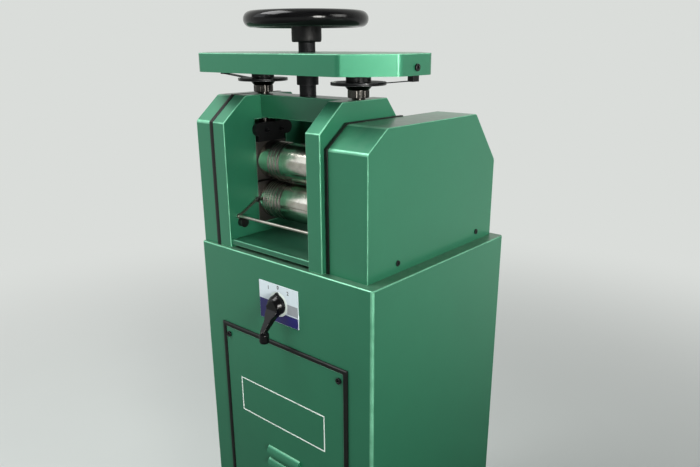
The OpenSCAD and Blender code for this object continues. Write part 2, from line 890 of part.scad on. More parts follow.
module output_shaft() {
    tail = slide_gap;
    color(steel)
        rod_x(
            reducer_x + reducer_l - output_in + tail, pinion_end - reducer_x - reducer_l + output_in - tail,
            output_shaft_d, pinion_y, drive_z
        );
}

// A pulley with a groove that the belt lies in
module grooved_pulley(d, bore_d) {
    floor_r = d / 2 - belt_t - 1;
    side = (pulley_w - belt_w) / 2 - slide_gap;
    rotate([90, 0, 90])
        rotate_extrude()
            polygon([
                [bore_d / 2, 0], [d / 2, 0], [d / 2, side], [floor_r, side],
                [floor_r, pulley_w - side], [d / 2, pulley_w - side],
                [d / 2, pulley_w], [bore_d / 2, pulley_w]
            ]);
}

module drive_pulley() {
    color(dark_steel)
        translate([pulley_x, pinion_y, drive_z])
            grooved_pulley(drive_pulley_d, output_shaft_d + 2 * run_fit);
}

module driven_pulley() {
    color(dark_steel)
        translate([pulley_x, pinion_y, pinion_z])
            grooved_pulley(driven_pulley_d, pinion_shaft_d + 2 * run_fit);
}

module drive_belt() {
    under = 1 - slide_gap;
    big = driven_pulley_d / 2 - belt_t - under;
    small = drive_pulley_d / 2 - belt_t - under;
    color(rubber)
        along_x(belt_x, belt_w)
            difference() {
                belt_run(big + belt_t, small + belt_t);
                belt_run(big, small);
            }
}

// A column's plate with its window, screw bore and blind bolt holes
module column_plate(side) {
    x = head_x + side * column_x;
    difference() {
        along_x(x - column_t / 2, column_t)
            polygon(column_outline(top_z));
        translate([x - column_t / 2 - eps, roll_y - window_w / 2, top_z + window_low])
            cube([column_t + 2 * eps, window_w, window_top - top_z - window_low]);
        translate([x, roll_y, window_top - eps])
            cylinder(h = lintel_h + 2 * eps, d = screw_d + 2 * run_fit);
        at_column_bolts()
            translate([0, 0, top_z - eps])
                cylinder(h = column_bolt_in + 2 * eps, d = column_bolt_d + 2 * seat_gap);
        rod_x(x - column_t / 2 - eps, column_t + 2 * eps, guard_pivot_d + 2 * run_fit, pivot_y, pivot_z);
    }
}

module left_column() {
    color(enamel)
        column_plate(-1);
}

module right_column() {
    color(enamel)
        difference() {
            column_plate(1);
            rod_x(in_right - eps, column_t + 2 * eps, pinion_shaft_d + 2 * run_fit, pinion_y, pinion_z);
        }
}

module column_bolts() {
    color(dark_steel)
        at_column_bolts()
            translate([0, 0, top_z - cabinet_sheet - bed_t])
                mirror([0, 0, 1])
                    cap_screw(
                        column_bolt_d, bolt_head * column_bolt_d, column_bolt_d,
                        bed_t + cabinet_sheet + column_bolt_in
                    );
}

module bridge() {
    color(enamel)
        difference() {
            translate([in_left, roll_y - bridge_d / 2, column_top - bridge_h])
                cube([opening_w, bridge_d, bridge_h]);
            translate([head_x, roll_y, column_top - bridge_h - eps])
                cylinder(h = bridge_h + 2 * eps, d = centre_shaft_d + 2 * run_fit);
        }
}

module base_plate() {
    color(enamel)
        translate([in_left, column_front + base_back, top_z + base_lift])
            cube([opening_w, column_d - 2 * base_back, base_t]);
}

module base_packing() {
    setback = 10;
    color(rubber)
        translate([in_left, column_front + base_back + setback, top_z])
            cube([opening_w, column_d - 2 * (base_back + setback), base_lift]);
}

module rear_guard() {
    color(enamel)
        translate([in_left, column_back - rear_guard_in - rear_guard_t, top_z + rear_guard_low])
            cube([opening_w, rear_guard_t, column_h - shoulder_h - rear_guard_low]);
}

// A sheet cover hollowed over part of its width, with the screw holes in its wall
module sheet_cover(outer, hollow, x, w, hollow_x, hollow_w) {
    difference() {
        along_x(x, w)
            polygon(outer);
        along_x(hollow_x, hollow_w)
            polygon(hollow);
        at_cover_screws()
            translate([0, 0, -cover_sheet - eps])
                cylinder(h = cover_sheet + 2 * eps, d = cover_screw_d + 2 * seat_gap);
    }
}

// A rubber strip along a cover's open edge
module edge_trim(outer, inner, x) {
    along_x(x, trim_w)
        difference() {
            intersection() {
                polygon(outer);
                translate([front_y, top_z])
                    square([cabinet_d, 2 * column_h]);
            }
            polygon(inner);
        }
}

module left_cover() {
    hollow = inset(left_cover_outline(top_z - 2 * cover_sheet), cover_sheet);
    color(enamel)
        sheet_cover(
            left_cover_outline(top_z), hollow,
            left_cover_x, left_cover_w, left_cover_x + cover_sheet, left_cover_w
        );
}

module left_cover_trim() {
    inner = inset(left_cover_outline(top_z - 2 * trim_depth), trim_depth);
    color(rubber)
        edge_trim(inset(left_cover_outline(top_z), -trim_proud), inner, left_cover_x + left_cover_w);
}

// The gear cover has an inner wall only behind the column
module gear_cover() {
    hollow = inset(gear_cover_outline(top_z - 2 * cover_sheet), cover_sheet);
    color(enamel)
        difference() {
            sheet_cover(
                gear_cover_outline(top_z), hollow,
                cover_x, gear_cover_w, cover_x + cover_sheet, gear_cover_w - 2 * cover_sheet
            );
            along_x(cover_x - eps, cover_sheet + 2 * eps)
                intersection() {
                    polygon(hollow);
                    translate([front_y, top_z - eps])
                        square([column_back - front_y, column_h]);
                }
        }
}

module gear_cover_trim() {
    inner = inset(gear_cover_outline(top_z - 2 * trim_depth), trim_depth);
    color(rubber)
        edge_trim(inset(gear_cover_outline(top_z), -trim_proud), inner, cover_x - trim_w);
}

module cover_blocks() {
    color(dark_steel)
        difference() {
            union() {
                for (y = gear_screw_y)
                    translate([cover_right - cover_sheet - cover_block.x, y - cover_block.y / 2, top_z])
                        cube(cover_block);
                for (y = left_screw_y)
                    translate([left_cover_x + cover_sheet, y - cover_block.y / 2, top_z])
                        cube(cover_block);
            }
            at_cover_screws()
                translate([0, 0, -cover_sheet - cover_block.x - eps])
                    cylinder(h = cover_block.x + 2 * eps, d = cover_screw_d + 2 * seat_gap);
        }
}

module cover_screws() {
    head_h = 1.5;
    color(black)
        at_cover_screws()
            cap_screw(cover_screw_d, 1.8 * cover_screw_d, head_h, cover_sheet + cover_block.x * 0.8);
}

// A bearing block for each column, with its middle at a height
module bearing_blocks(z) {
    for (x = [-1, 1])
        difference() {
            translate([head_x + x * column_x - column_t / 2, roll_y - block_w / 2, z - block_h / 2])
                cube([column_t, block_w, block_h]);
            rod_x(
                head_x + x * column_x - column_t / 2 - eps, column_t + 2 * eps, neck_d + 2 * run_fit,
                roll_y, z
            );
            children();
        }
}

module lower_bearing_blocks() {
    sill = top_z + window_low;
    color(bronze) {
        bearing_blocks(lower_z);
        for (x = [-1, 1])
            translate([head_x + x * column_x - column_t / 2, roll_y - block_w / 2, sill])
                cube([column_t, block_w, lower_z - block_h / 2 - sill + eps]);
    }
}

module upper_bearing_blocks() {
    color(bronze)
        bearing_blocks(upper_z)
            for (x = [-1, 1])
                translate([head_x + x * column_x, roll_y, upper_block_top - foot_pocket_h])
                    cylinder(h = foot_pocket_h + eps, d = foot_pad_d + 2 * slide_gap);
}

// A roll with its wire grooves from the first one given, and its necks, turned about its axis
module turned_roll(z, shaft_end, first_groove) {
    r = roll_d / 2;
    start = in_left + roll_end_gap;
    tail = out_left - neck_out;
    step = out_right + gear_side_gap / 2;
    color(steel)
        translate([start, roll_y, z])
            rotate([0, 90, 0])
                rotate_extrude()
                    polygon(concat(
                        [[0, tail - start], [neck_d / 2, tail - start], [neck_d / 2, 0], [r, 0]],
                        [
                            for (i = [first_groove:1:groove_count - 1])
                                each [
                                    [r, groove_x(i)], [r - groove_w(i) / 2, groove_x(i) + groove_w(i) / 2],
                                    [r, groove_x(i) + groove_w(i)]
                                ]
                        ],
                        [
                            [r, roll_l], [neck_d / 2, roll_l],
                            [neck_d / 2, step - start], [roll_shaft_d / 2, step - start],
                            [roll_shaft_d / 2, shaft_end - start], [0, shaft_end - start]
                        ]
                    ));
}

module lower_roll() {
    turned_roll(lower_z, lower_shaft_end, 0);
}

module upper_roll() {
    turned_roll(upper_z, upper_shaft_end, max(0, groove_count - upper_groove_count));
}

// A spur gear on a shaft along X, turned so that one tooth points at an angle
module gear_x(x, w, y, z, n, pitch_r, addendum, dedendum, bore_d, angle, share = tooth_share) {
    along_x(x, w)
        translate([y, z])
            difference() {
                rotate(angle)
                    polygon(gear_outline(n, pitch_r, addendum, dedendum, share));
                if (bore_d > 0)
                    circle(d = bore_d);
            }
}

module lower_roll_gear() {
    color(dark_steel)
        gear_x(
            roll_gear_x, roll_gear_w, roll_y, lower_z, roll_gear_n, roll_gear_r, roll_addendum, roll_dedendum,
            roll_shaft_d + 2 * run_fit, 90, roll_tooth_share
        );
}

module upper_roll_gear() {
    color(dark_steel)
        gear_x(
            roll_gear_x, roll_gear_w, roll_y, upper_z, roll_gear_n, roll_gear_r, roll_addendum, roll_dedendum,
            roll_shaft_d + 2 * run_fit, 270 + 180 / roll_gear_n, roll_tooth_share
        );
}

module bull_gear() {
    color(dark_steel)
        gear_x(
            bull_x, bull_w, roll_y, lower_z, bull_n, bull_r, drive_module * 0.9, drive_module * 1.2,
            roll_shaft_d + 2 * run_fit, pinion_angle
        );
}

module pinion_shaft() {
    color(steel) {
        gear_x(
            bull_x, bull_w, pinion_y, pinion_z, pinion_n, pinion_r, drive_module * 0.9, drive_module * 1.2,
            0, pinion_angle + 180 + 180 / pinion_n
        );
        rod_x(in_right, pinion_end - in_right, pinion_shaft_d, pinion_y, pinion_z);
    }
}

module lift_brackets() {
    for (side = [-1, 1]) {
        x = head_x + side * column_x;
        bar_x = side < 0 ? in_left + slide_gap : in_right - slide_gap - lift_bar_t;
        block_x = side < 0 ? x - column_t / 2 : x - column_t / 2 - slide_gap - eps;
        r = lift_bar_h / 2;
        color(black)
            difference() {
                union() {
                    along_x(bar_x, lift_bar_t)
                        translate([roll_y, lift_low + r]) {
                            square([lift_bar_l - lift_bar_h, lift_bar_h], center = true);
                            for (y = [-1, 1])
                                translate([y * (lift_bar_l / 2 - r), 0])
                                    circle(r);
                        }
                    translate([block_x, roll_y - lift_block_w / 2, upper_block_top])
                        cube([column_t + slide_gap + eps, lift_block_w, lift_block_top - upper_block_top]);
                }
                translate([x, roll_y, upper_block_top - eps])
                    cylinder(h = lift_block_top - upper_block_top + 2 * eps, d = screw_neck_d + 2 * run_fit);
                at_bracket_bolts(side)
                    translate([0, 0, -2 * lift_bar_t - eps])
                        cylinder(h = 3 * lift_bar_t, d = bracket_bolt_d / 2 + 2 * seat_gap);
            }
    }
}

module at_bracket_bolts(side) {
    bar_face = side < 0 ? in_left + slide_gap + lift_bar_t : in_right - slide_gap - lift_bar_t;
    for (y = [-1, 1])
        translate([bar_face, roll_y + y * bracket_bolt_y, lift_low + lift_bar_h / 2 - bracket_bolt_drop])
            rotate([0, side < 0 ? 90 : -90, 0])
                children();
}

module bracket_bolts() {
    head_h = 5;
    color(dark_steel)
        for (side = [-1, 1])
            at_bracket_bolts(side)
                cap_screw(bracket_bolt_d / 2, bracket_bolt_d, head_h, 1.5 * lift_bar_t);
}

module case_cover() {
    color(enamel)
        difference() {
            translate([head_x, roll_y, case_z])
                linear_extrude(case_h)
                    polygon(case_outline(case_l, case_d, case_corner));
            translate([head_x, roll_y, case_z - eps])
                linear_extrude(case_h - case_wall + eps)
                    polygon(inset(case_outline(case_l, case_d, case_corner), case_wall));
            translate([head_x, roll_y, case_z])
                cylinder(h = case_h + eps, d = centre_shaft_d + 2 * run_fit);
            at_case_screws()
                translate([0, 0, -case_wall - eps])
                    cylinder(h = case_wall + 2 * eps, d = case_screw_d + 2 * seat_gap);
        }
}

module at_case_screws() {
    for (side = [-1, 1])
        translate([head_x + side * case_l / 2, roll_y, case_z + case_end.z * 0.6])
            rotate([0, side * 90, 0])
                children();
}

module case_plate() {
    plate_end = case_l / 2 - plate_inset;
    color(dark_steel)
        difference() {
            union() {
                translate([head_x, roll_y, case_z])
                    linear_extrude(case_plate_t)
                        polygon(inset(case_outline(case_l, case_d, case_corner), plate_inset));
                for (x = [-1, 1])
                    translate([head_x + x * (plate_end - case_end.x / 2), roll_y, case_z + case_end.z / 2])
                        cube(case_end, center = true);
            }
            for (x = [-1, 1])
                translate([head_x + x * column_x, roll_y, case_z - eps])
                    cylinder(h = case_plate_t + 2 * eps, d = screw_d + 2 * run_fit);
            translate([head_x, roll_y, case_z - eps])
                cylinder(h = case_plate_t + 2 * eps, d = centre_shaft_d + 2 * run_fit);
            at_case_screws()
                translate([0, 0, -case_wall - case_end.x])
                    cylinder(h = case_wall + case_end.x, d = case_screw_d + 2 * seat_gap);
        }
}

module case_screws() {
    color(black)
        at_case_screws()
            cap_screw(case_screw_d, 2 * case_screw_d, case_screw_head, case_wall + case_end.x * 0.75);
}

// A pointer on each side: a foot under the case and a thin blade to the dial's rim
module dial_pointers() {
    foot_out = case_l / 2 - pointer_end_in;
    blade_end = foot_out - pointer_foot.x + eps;
    tip = column_x + dial_d / 2 + pointer_tip_gap;
    root_z = case_z - pointer_foot.z;
    tip_z = dial_z + dial_t - pointer_t;
    color(black)
        for (side = [-1, 1])
            translate([head_x, roll_y, 0])
                scale([side, 1, 1]) {
                    translate([foot_out - pointer_foot.x, -pointer_foot.y / 2, root_z])
                        cube(pointer_foot);
                    translate([0, pointer_w / 2, 0])
                        rotate([90, 0, 0])
                            linear_extrude(pointer_w)
                                polygon([
                                    [tip, tip_z], [blade_end, root_z],
                                    [blade_end, root_z + pointer_t], [tip, tip_z + pointer_t]
                                ]);
                }
}

// A spur gear on an upright shaft in the top case
module case_gear(x, bore_d, angle) {
    gear_module = 2 * case_gear_r / case_gear_n;
    color(dark_steel)
        translate([x, roll_y, case_gear_z])
            linear_extrude(case_gear_t)
                difference() {
                    rotate(angle)
                        polygon(gear_outline(case_gear_n, case_gear_r, gear_module * 0.9, gear_module * 1.2));
                    circle(d = bore_d);
                }
}

module centre_shaft() {
    collar_top = case_z - slide_gap;
    seat_z = hub_z + hub_h * 0.3;
    color(black)
        translate([head_x, roll_y, 0]) {
            translate([0, 0, shaft_low])
                cylinder(h = seat_z - shaft_low, d = centre_shaft_d);
            translate([0, 0, collar_top - centre_collar_h])
                cylinder(h = centre_collar_h, d = centre_collar_d);
            translate([0, 0, seat_z - eps])
                cylinder(h = hub_z + hub_h + wheel_nut_h * 0.7 - seat_z + eps, d = wheel_seat_d);
        }
}

module centre_gear() {
    case_gear(head_x, centre_shaft_d + 2 * run_fit, 0);
}

module handwheel() {
    seat_h = hub_h * 0.3;
    spoke_in = wheel_nut_d / 2 + wheel_nut_room;
    color(black)
        translate([head_x, roll_y, 0])
            difference() {
                union() {
                    translate([0, 0, rim_z])
                        rotate_extrude()
                            translate([rim_r, 0])
                                circle(d = rim_d);
                    translate([0, 0, hub_z])
                        cylinder(h = hub_h, d = hub_d);
                    for (i = [0:spoke_count - 1])
                        rotate(360 * i / spoke_count + 90)
                            translate([spoke_in, -spoke_w / 2, rim_z - spoke_t / 2])
                                cube([rim_r - spoke_in, spoke_w, spoke_t]);
                }
                translate([0, 0, hub_z - eps])
                    cylinder(h = seat_h + eps, d = centre_shaft_d + 2 * run_fit);
                translate([0, 0, hub_z])
                    cylinder(h = hub_h + eps, d = wheel_seat_d + 2 * run_fit);
            }
}

module wheel_nut() {
    color(steel)
        translate([head_x, roll_y, hub_z + hub_h])
            difference() {
                cylinder(h = wheel_nut_h, d = wheel_nut_d, $fn = 6);
                translate([0, 0, -eps])
                    cylinder(h = wheel_nut_h + 2 * eps, d = wheel_seat_d + 2 * run_fit);
            }
}

// An adjusting screw: foot, neck, thread, sleeve, flare and the spigot that carries dial and gear
module adjusting_screw(side) {
    foot_z = upper_block_top - foot_pocket_h + slide_gap;
    thread_z = lift_block_top + slide_gap;
    flare_z = dial_z - flare_h;
    color(steel)
        translate([head_x + side * column_x, roll_y, 0]) {
            translate([0, 0, foot_z])
                cylinder(h = foot_pad_h, d = foot_pad_d);
            translate([0, 0, foot_z])
                cylinder(h = thread_z - foot_z + eps, d = screw_neck_d);
            translate([0, 0, thread_z])
                cylinder(h = case_gear_z + case_gear_t - thread_z, d = screw_d);
            translate([0, 0, sleeve_low])
                cylinder(h = dial_z - sleeve_low, d = sleeve_d);
            translate([0, 0, flare_z])
                cylinder(h = flare_h, d1 = sleeve_d, d2 = flare_d);
        }
}

module left_screw() {
    adjusting_screw(-1);
}

module right_screw() {
    adjusting_screw(1);
}

module left_screw_gear() {
    case_gear(head_x - column_x, screw_d + 2 * run_fit, 180 / case_gear_n);
}

module right_screw_gear() {
    case_gear(head_x + column_x, screw_d + 2 * run_fit, 180 + 180 / case_gear_n);
}

// A dial: a disc and its hub, bored for the screw's spigot
module dial(side) {
    color(black)
        translate([head_x + side * column_x, roll_y, dial_z])
            difference() {
                union() {
                    cylinder(h = dial_t, d = dial_d);
                    cylinder(h = dial_hub_h, d = dial_hub_d);
                }
                translate([0, 0, -eps])
                    cylinder(h = dial_hub_h + 2 * eps, d = screw_d + 2 * run_fit);
            }
}

module left_dial() {
    dial(-1);
}

module right_dial() {
    dial(1);
}

module guard_bar() {
    rod_in = guard_side_gap + guard_arm_t / 2;
    color(steel)
        difference() {
            union() {
                for (x = [in_left + guard_side_gap, in_right - guard_side_gap - guard_arm_t])
                    along_x(x, guard_arm_t) {
                        translate([pivot_y, pivot_z])
                            circle(d = pivot_eye_d);
                        translate([rod_y, rod_z])
                            circle(d = rod_eye_d);
                        translate([pivot_y, pivot_z])
                            rotate(atan2(arm_dir.y, arm_dir.x))
                                translate([0, -guard_arm_w / 2])
                                    square([guard_run, guard_arm_w]);
                    }
                rod_x(in_left + rod_in, opening_w - 2 * rod_in, guard_rod_d, rod_y, rod_z);
            }
            rod_x(in_left - eps, opening_w + 2 * eps, guard_pivot_d + 2 * run_fit, pivot_y, pivot_z);
        }
}

// Pivot screws with a head inside each guard arm
module guard_pivots() {
    reach = guard_side_gap + guard_arm_t + slide_gap;
    color(black)
        for (side = [-1, 1])
            translate([head_x + side * opening_w / 2, pivot_y, pivot_z])
                rotate([0, -side * 90, 0]) {
                    translate([0, 0, -column_t])
                        cylinder(h = column_t + reach, d = guard_pivot_d);
                    translate([0, 0, reach])
                        cylinder(h = guard_head_h, d = guard_pivot_d + 2 * guard_head_lip);
                }
}

module guard_stops() {
    color(rubber)
        for (x = [in_left, in_right - guard_stop_l])
            rod_x(x, guard_stop_l, guard_stop_d, stop_mid.x, stop_mid.y);
}

cabinet_shell();
base_pan();
bed_plate();
cable_gland();
access_panel();
panel_gasket();
panel_screws();
switch_plate();
switch_body();
switch_lever();
motor_shelf();
motor();
gear_reducer();
output_shaft();
drive_pulley();
drive_belt();
left_column();
right_column();
column_bolts();
bridge();
base_plate();
base_packing();
rear_guard();
left_cover();
left_cover_trim();
gear_cover();
gear_cover_trim();
cover_blocks();
cover_screws();
lower_bearing_blocks();
lower_roll();
lower_roll_gear();
bull_gear();
pinion_shaft();
driven_pulley();
upper_bearing_blocks();
upper_roll();
upper_roll_gear();
lift_brackets();
bracket_bolts();
case_cover();
case_plate();
case_screws();
dial_pointers();
centre_shaft();
centre_gear();
handwheel();
wheel_nut();
left_screw();
left_screw_gear();
left_dial();
right_screw();
right_screw_gear();
right_dial();
guard_bar();
guard_pivots();
guard_stops();
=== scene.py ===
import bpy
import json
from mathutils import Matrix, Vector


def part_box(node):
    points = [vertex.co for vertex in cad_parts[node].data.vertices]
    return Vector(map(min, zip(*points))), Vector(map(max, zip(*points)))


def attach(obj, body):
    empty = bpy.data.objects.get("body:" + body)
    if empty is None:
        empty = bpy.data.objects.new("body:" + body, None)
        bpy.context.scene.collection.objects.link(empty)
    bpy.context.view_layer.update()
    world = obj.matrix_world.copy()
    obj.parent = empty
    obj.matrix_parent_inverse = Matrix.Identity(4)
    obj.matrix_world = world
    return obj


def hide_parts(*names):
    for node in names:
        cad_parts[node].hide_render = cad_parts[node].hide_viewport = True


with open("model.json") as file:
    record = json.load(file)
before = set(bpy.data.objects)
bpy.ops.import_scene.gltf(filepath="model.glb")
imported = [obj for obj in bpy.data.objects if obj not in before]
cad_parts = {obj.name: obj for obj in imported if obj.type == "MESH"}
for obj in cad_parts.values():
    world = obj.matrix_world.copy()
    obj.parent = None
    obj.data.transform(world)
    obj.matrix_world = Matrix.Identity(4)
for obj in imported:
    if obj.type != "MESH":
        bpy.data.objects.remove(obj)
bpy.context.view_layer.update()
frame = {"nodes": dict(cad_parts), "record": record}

import json
import math

import bmesh
import bpy
from mathutils import Matrix, Vector

# The jeweller's rolling mill on its cabinet. Sizes are written in millimetres, and MM turns them
# to metres.
MM = 0.001
scene = bpy.context.scene
record = frame["record"]
BODY_OF = {node: body for body, nodes in record["behaviour"]["bodies"].items() for node in nodes}
SLOT_OF = {part["node"]: part["material_slot"] for part in record["subparts"]}


# Materials

# sockets of a Mix node for colours: the share of the second colour, both colours and the result
SHARE, FIRST, SECOND, MIXED = 0, 6, 7, 2
# the axes that round pieces were turned on
ACROSS, UPRIGHT = (1, 0, 0), (0, 0, 1)


def linear(colour):
    """An sRGB hex colour as linear RGBA."""
    parts = [int(colour[i:i + 2], 16) / 255 for i in (1, 3, 5)]
    return [p / 12.92 if p <= 0.04045 else ((p + 0.055) / 1.055) ** 2.4 for p in parts] + [1.0]


def every(length):
    """The scale of a pattern that repeats about every so many millimetres."""
    return 1000 / length


def add(tree, kind, sockets=(), **settings):
    """Adds a node: settings are its properties, and sockets give its inputs a value or an output
    of another node."""
    made = tree.nodes.new(kind)
    for name, value in settings.items():
        setattr(made, name, value)
    for key, value in dict(sockets).items():
        if isinstance(value, bpy.types.NodeSocket):
            tree.links.new(value, made.inputs[key])
        else:
            made.inputs[key].default_value = value
    return made


def finish(name, constants):
    """A new material with one Principled shader whose even values are set on its own sockets."""
    material = bpy.data.materials.new(name)
    material.use_nodes = True
    shader = material.node_tree.nodes["Principled BSDF"]
    for socket, value in constants.items():
        shader.inputs[socket].default_value = value
    return material, material.node_tree, shader


def stoved_enamel(name, deep, light, edge_tone, dust, dusty, gloss, flake):
    # Machine enamel with a fine metal flake, sprayed on sheet and stoved: reflections take on the
    # paint's own colour, so that each face has its own depth, and a faint orange peel breaks them
    # up. Eased edges are painted lighter, partly as rubbed wear and partly as a painted highlight
    # along the folds, and workshop dust lies on what faces up.
    material, tree, shader = finish(name, {"IOR": 1.45, "Metallic": flake, "Coat Weight": 0.4,
                                           "Coat Roughness": 0.2})
    place = add(tree, "ShaderNodeTexCoord").outputs["Object"]
    # the drift of the spray gun's passes, about 120 mm wide, with fine mottling in it
    drift = add(tree, "ShaderNodeTexNoise", {"Vector": place, "Scale": every(120), "Detail": 9.0,
                                             "Roughness": 0.75}).outputs["Fac"]
    tone = add(tree, "ShaderNodeMix", {SHARE: drift, FIRST: linear(deep), SECOND: linear(light)},
               data_type="RGBA")
    # eased edges are painted lighter, as wear and as a painted highlight; the lighter edge breaks
    # up along its length every 30 mm or so
    edge = add(tree, "ShaderNodeAttribute", attribute_name="eased_edge")
    rub = add(tree, "ShaderNodeTexNoise", {"Vector": place, "Scale": every(30), "Detail": 4.0})
    edge_lightness = add(tree, "ShaderNodeMapRange", {"Value": rub.outputs["Fac"], "From Min": 0.3,
                                            "From Max": 0.7, "To Min": 0.3, "To Max": 0.8})
    worn_and_highlit_edge = add(tree, "ShaderNodeMath", {0: edge.outputs["Fac"], 1: edge_lightness.outputs[0]},
                 operation="MULTIPLY")
    with_lighter_edges = add(tree, "ShaderNodeMix", {SHARE: worn_and_highlit_edge.outputs[0], FIRST: tone.outputs[MIXED],
                                        SECOND: linear(edge_tone)}, data_type="RGBA")
    # dust lies in patches about 12 mm across
    normal = add(tree, "ShaderNodeNewGeometry").outputs["Normal"]
    facing = add(tree, "ShaderNodeSeparateXYZ", {0: normal})
    upward = add(tree, "ShaderNodeMapRange", {"Value": facing.outputs["Z"], "From Min": 0.75,
                                              "From Max": 1.0, "To Max": dusty})
    patch = add(tree, "ShaderNodeTexNoise", {"Vector": place, "Scale": every(12), "Detail": 5.0})
    lying = add(tree, "ShaderNodeMath", {0: upward.outputs[0], 1: patch.outputs["Fac"]},
                operation="MULTIPLY")
    dusted = add(tree, "ShaderNodeMix", {SHARE: lying.outputs[0], FIRST: with_lighter_edges.outputs[MIXED],
                                         SECOND: linear(dust)}, data_type="RGBA")
    tree.links.new(dusted.outputs[MIXED], shader.inputs["Base Color"])
    sheen = add(tree, "ShaderNodeMapRange", {"Value": drift, "To Min": gloss - 0.04,
                                             "To Max": gloss + 0.04})
    tree.links.new(sheen.outputs[0], shader.inputs["Roughness"])
    # orange peel is about 2 mm from crest to crest, drawn at 3.5 mm so that it shows
    peel = add(tree, "ShaderNodeTexNoise", {"Vector": place, "Scale": every(3.5), "Detail": 1.0})
    bump = add(tree, "ShaderNodeBump", {"Height": peel.outputs["Fac"], "Strength": 0.06,
                                        "Distance": 0.4 * MM})
    tree.links.new(bump.outputs[0], shader.inputs["Normal"])
    return material


def turned_steel(name, dark, bright, cut, axis, pitch, gloss, marks=0.25):
    # Ground and polished tool steel: a mirror drawn out by fine rings round the axis that it was
    # turned on, with faint darker bands where oil and handling have dulled it. Grooves and ends
    # were only turned, so they have the darker tone of the cut and scatter more.
    material, tree, shader = finish(name, {"Metallic": 1.0})
    place = add(tree, "ShaderNodeTexCoord").outputs["Object"]
    # polishing rings lie a few tenths of a millimetre apart, drawn at the pitch given so that they
    # show, and each one changes over about 90 mm of its way round
    stretch = [every(pitch if along else 90) for along in axis]
    stretched = add(tree, "ShaderNodeMapping", {"Vector": place, "Scale": stretch})
    rings = add(tree, "ShaderNodeTexNoise", {"Vector": stretched.outputs[0], "Scale": 1.0,
                                             "Detail": 2.0}).outputs["Fac"]
    # stains are about 25 mm wide
    stain = add(tree, "ShaderNodeTexNoise", {"Vector": place, "Scale": every(25), "Detail": 4.0})
    dull = add(tree, "ShaderNodeMapRange", {"Value": stain.outputs["Fac"], "From Min": 0.35,
                                            "From Max": 0.75})
    tone = add(tree, "ShaderNodeMix", {SHARE: dull.outputs[0], FIRST: linear(bright),
                                       SECOND: linear(dark)}, data_type="RGBA")
    rough = add(tree, "ShaderNodeMapRange", {"Value": rings, "From Min": 0.3, "From Max": 0.7,
                                             "To Min": gloss - 0.04, "To Max": gloss + 0.08})
    # a face is a cut one where it looks along the axis
    normal = add(tree, "ShaderNodeNewGeometry").outputs["True Normal"]
    along = add(tree, "ShaderNodeVectorMath", {0: normal, 1: axis}, operation="DOT_PRODUCT")
    across = add(tree, "ShaderNodeMath", {0: along.outputs["Value"]}, operation="ABSOLUTE")
    turned = add(tree, "ShaderNodeMapRange", {"Value": across.outputs[0], "From Min": 0.15,
                                              "From Max": 0.5})
    toned = add(tree, "ShaderNodeMix", {SHARE: turned.outputs[0], FIRST: tone.outputs[MIXED],
                                        SECOND: linear(cut)}, data_type="RGBA")
    tree.links.new(toned.outputs[MIXED], shader.inputs["Base Color"])
    matt = add(tree, "ShaderNodeMath", {0: turned.outputs[0], 1: 0.1, 2: rough.outputs[0]},
               operation="MULTIPLY_ADD")
    tree.links.new(matt.outputs[0], shader.inputs["Roughness"])
    bump = add(tree, "ShaderNodeBump", {"Height": rings, "Strength": marks, "Distance": 0.05 * MM})
    tree.links.new(bump.outputs[0], shader.inputs["Normal"])
    return material


def blacked_steel(name, deep, edge_tone, gloss):
    # Steel blacked in hot oxide and oiled: near black with a soft sheen, grey where edges have
    # rubbed bright.
    material, tree, shader = finish(name, {"Metallic": 0.75})
    place = add(tree, "ShaderNodeTexCoord").outputs["Object"]
    # rubbed places come and go every 6 mm
    edge = add(tree, "ShaderNodeAttribute", attribute_name="eased_edge")
    rub = add(tree, "ShaderNodeTexNoise", {"Vector": place, "Scale": every(6),
                                           "Detail": 4.0}).outputs["Fac"]
    bare = add(tree, "ShaderNodeMath", {0: edge.outputs["Fac"], 1: rub}, operation="MULTIPLY")
    tone = add(tree, "ShaderNodeMix", {SHARE: bare.outputs[0], FIRST: linear(deep),
                                       SECOND: linear(edge_tone)}, data_type="RGBA")
    tree.links.new(tone.outputs[MIXED], shader.inputs["Base Color"])
    # oil film thins out in patches about 15 mm wide
    film = add(tree, "ShaderNodeTexNoise", {"Vector": place, "Scale": every(15), "Detail": 3.0})
    rough = add(tree, "ShaderNodeMapRange", {"Value": film.outputs["Fac"], "To Min": gloss - 0.08,
                                             "To Max": gloss + 0.1})
    tree.links.new(rough.outputs[0], shader.inputs["Roughness"])
    bump = add(tree, "ShaderNodeBump", {"Height": rub, "Strength": 0.05, "Distance": 0.1 * MM})
    tree.links.new(bump.outputs[0], shader.inputs["Normal"])
    return material


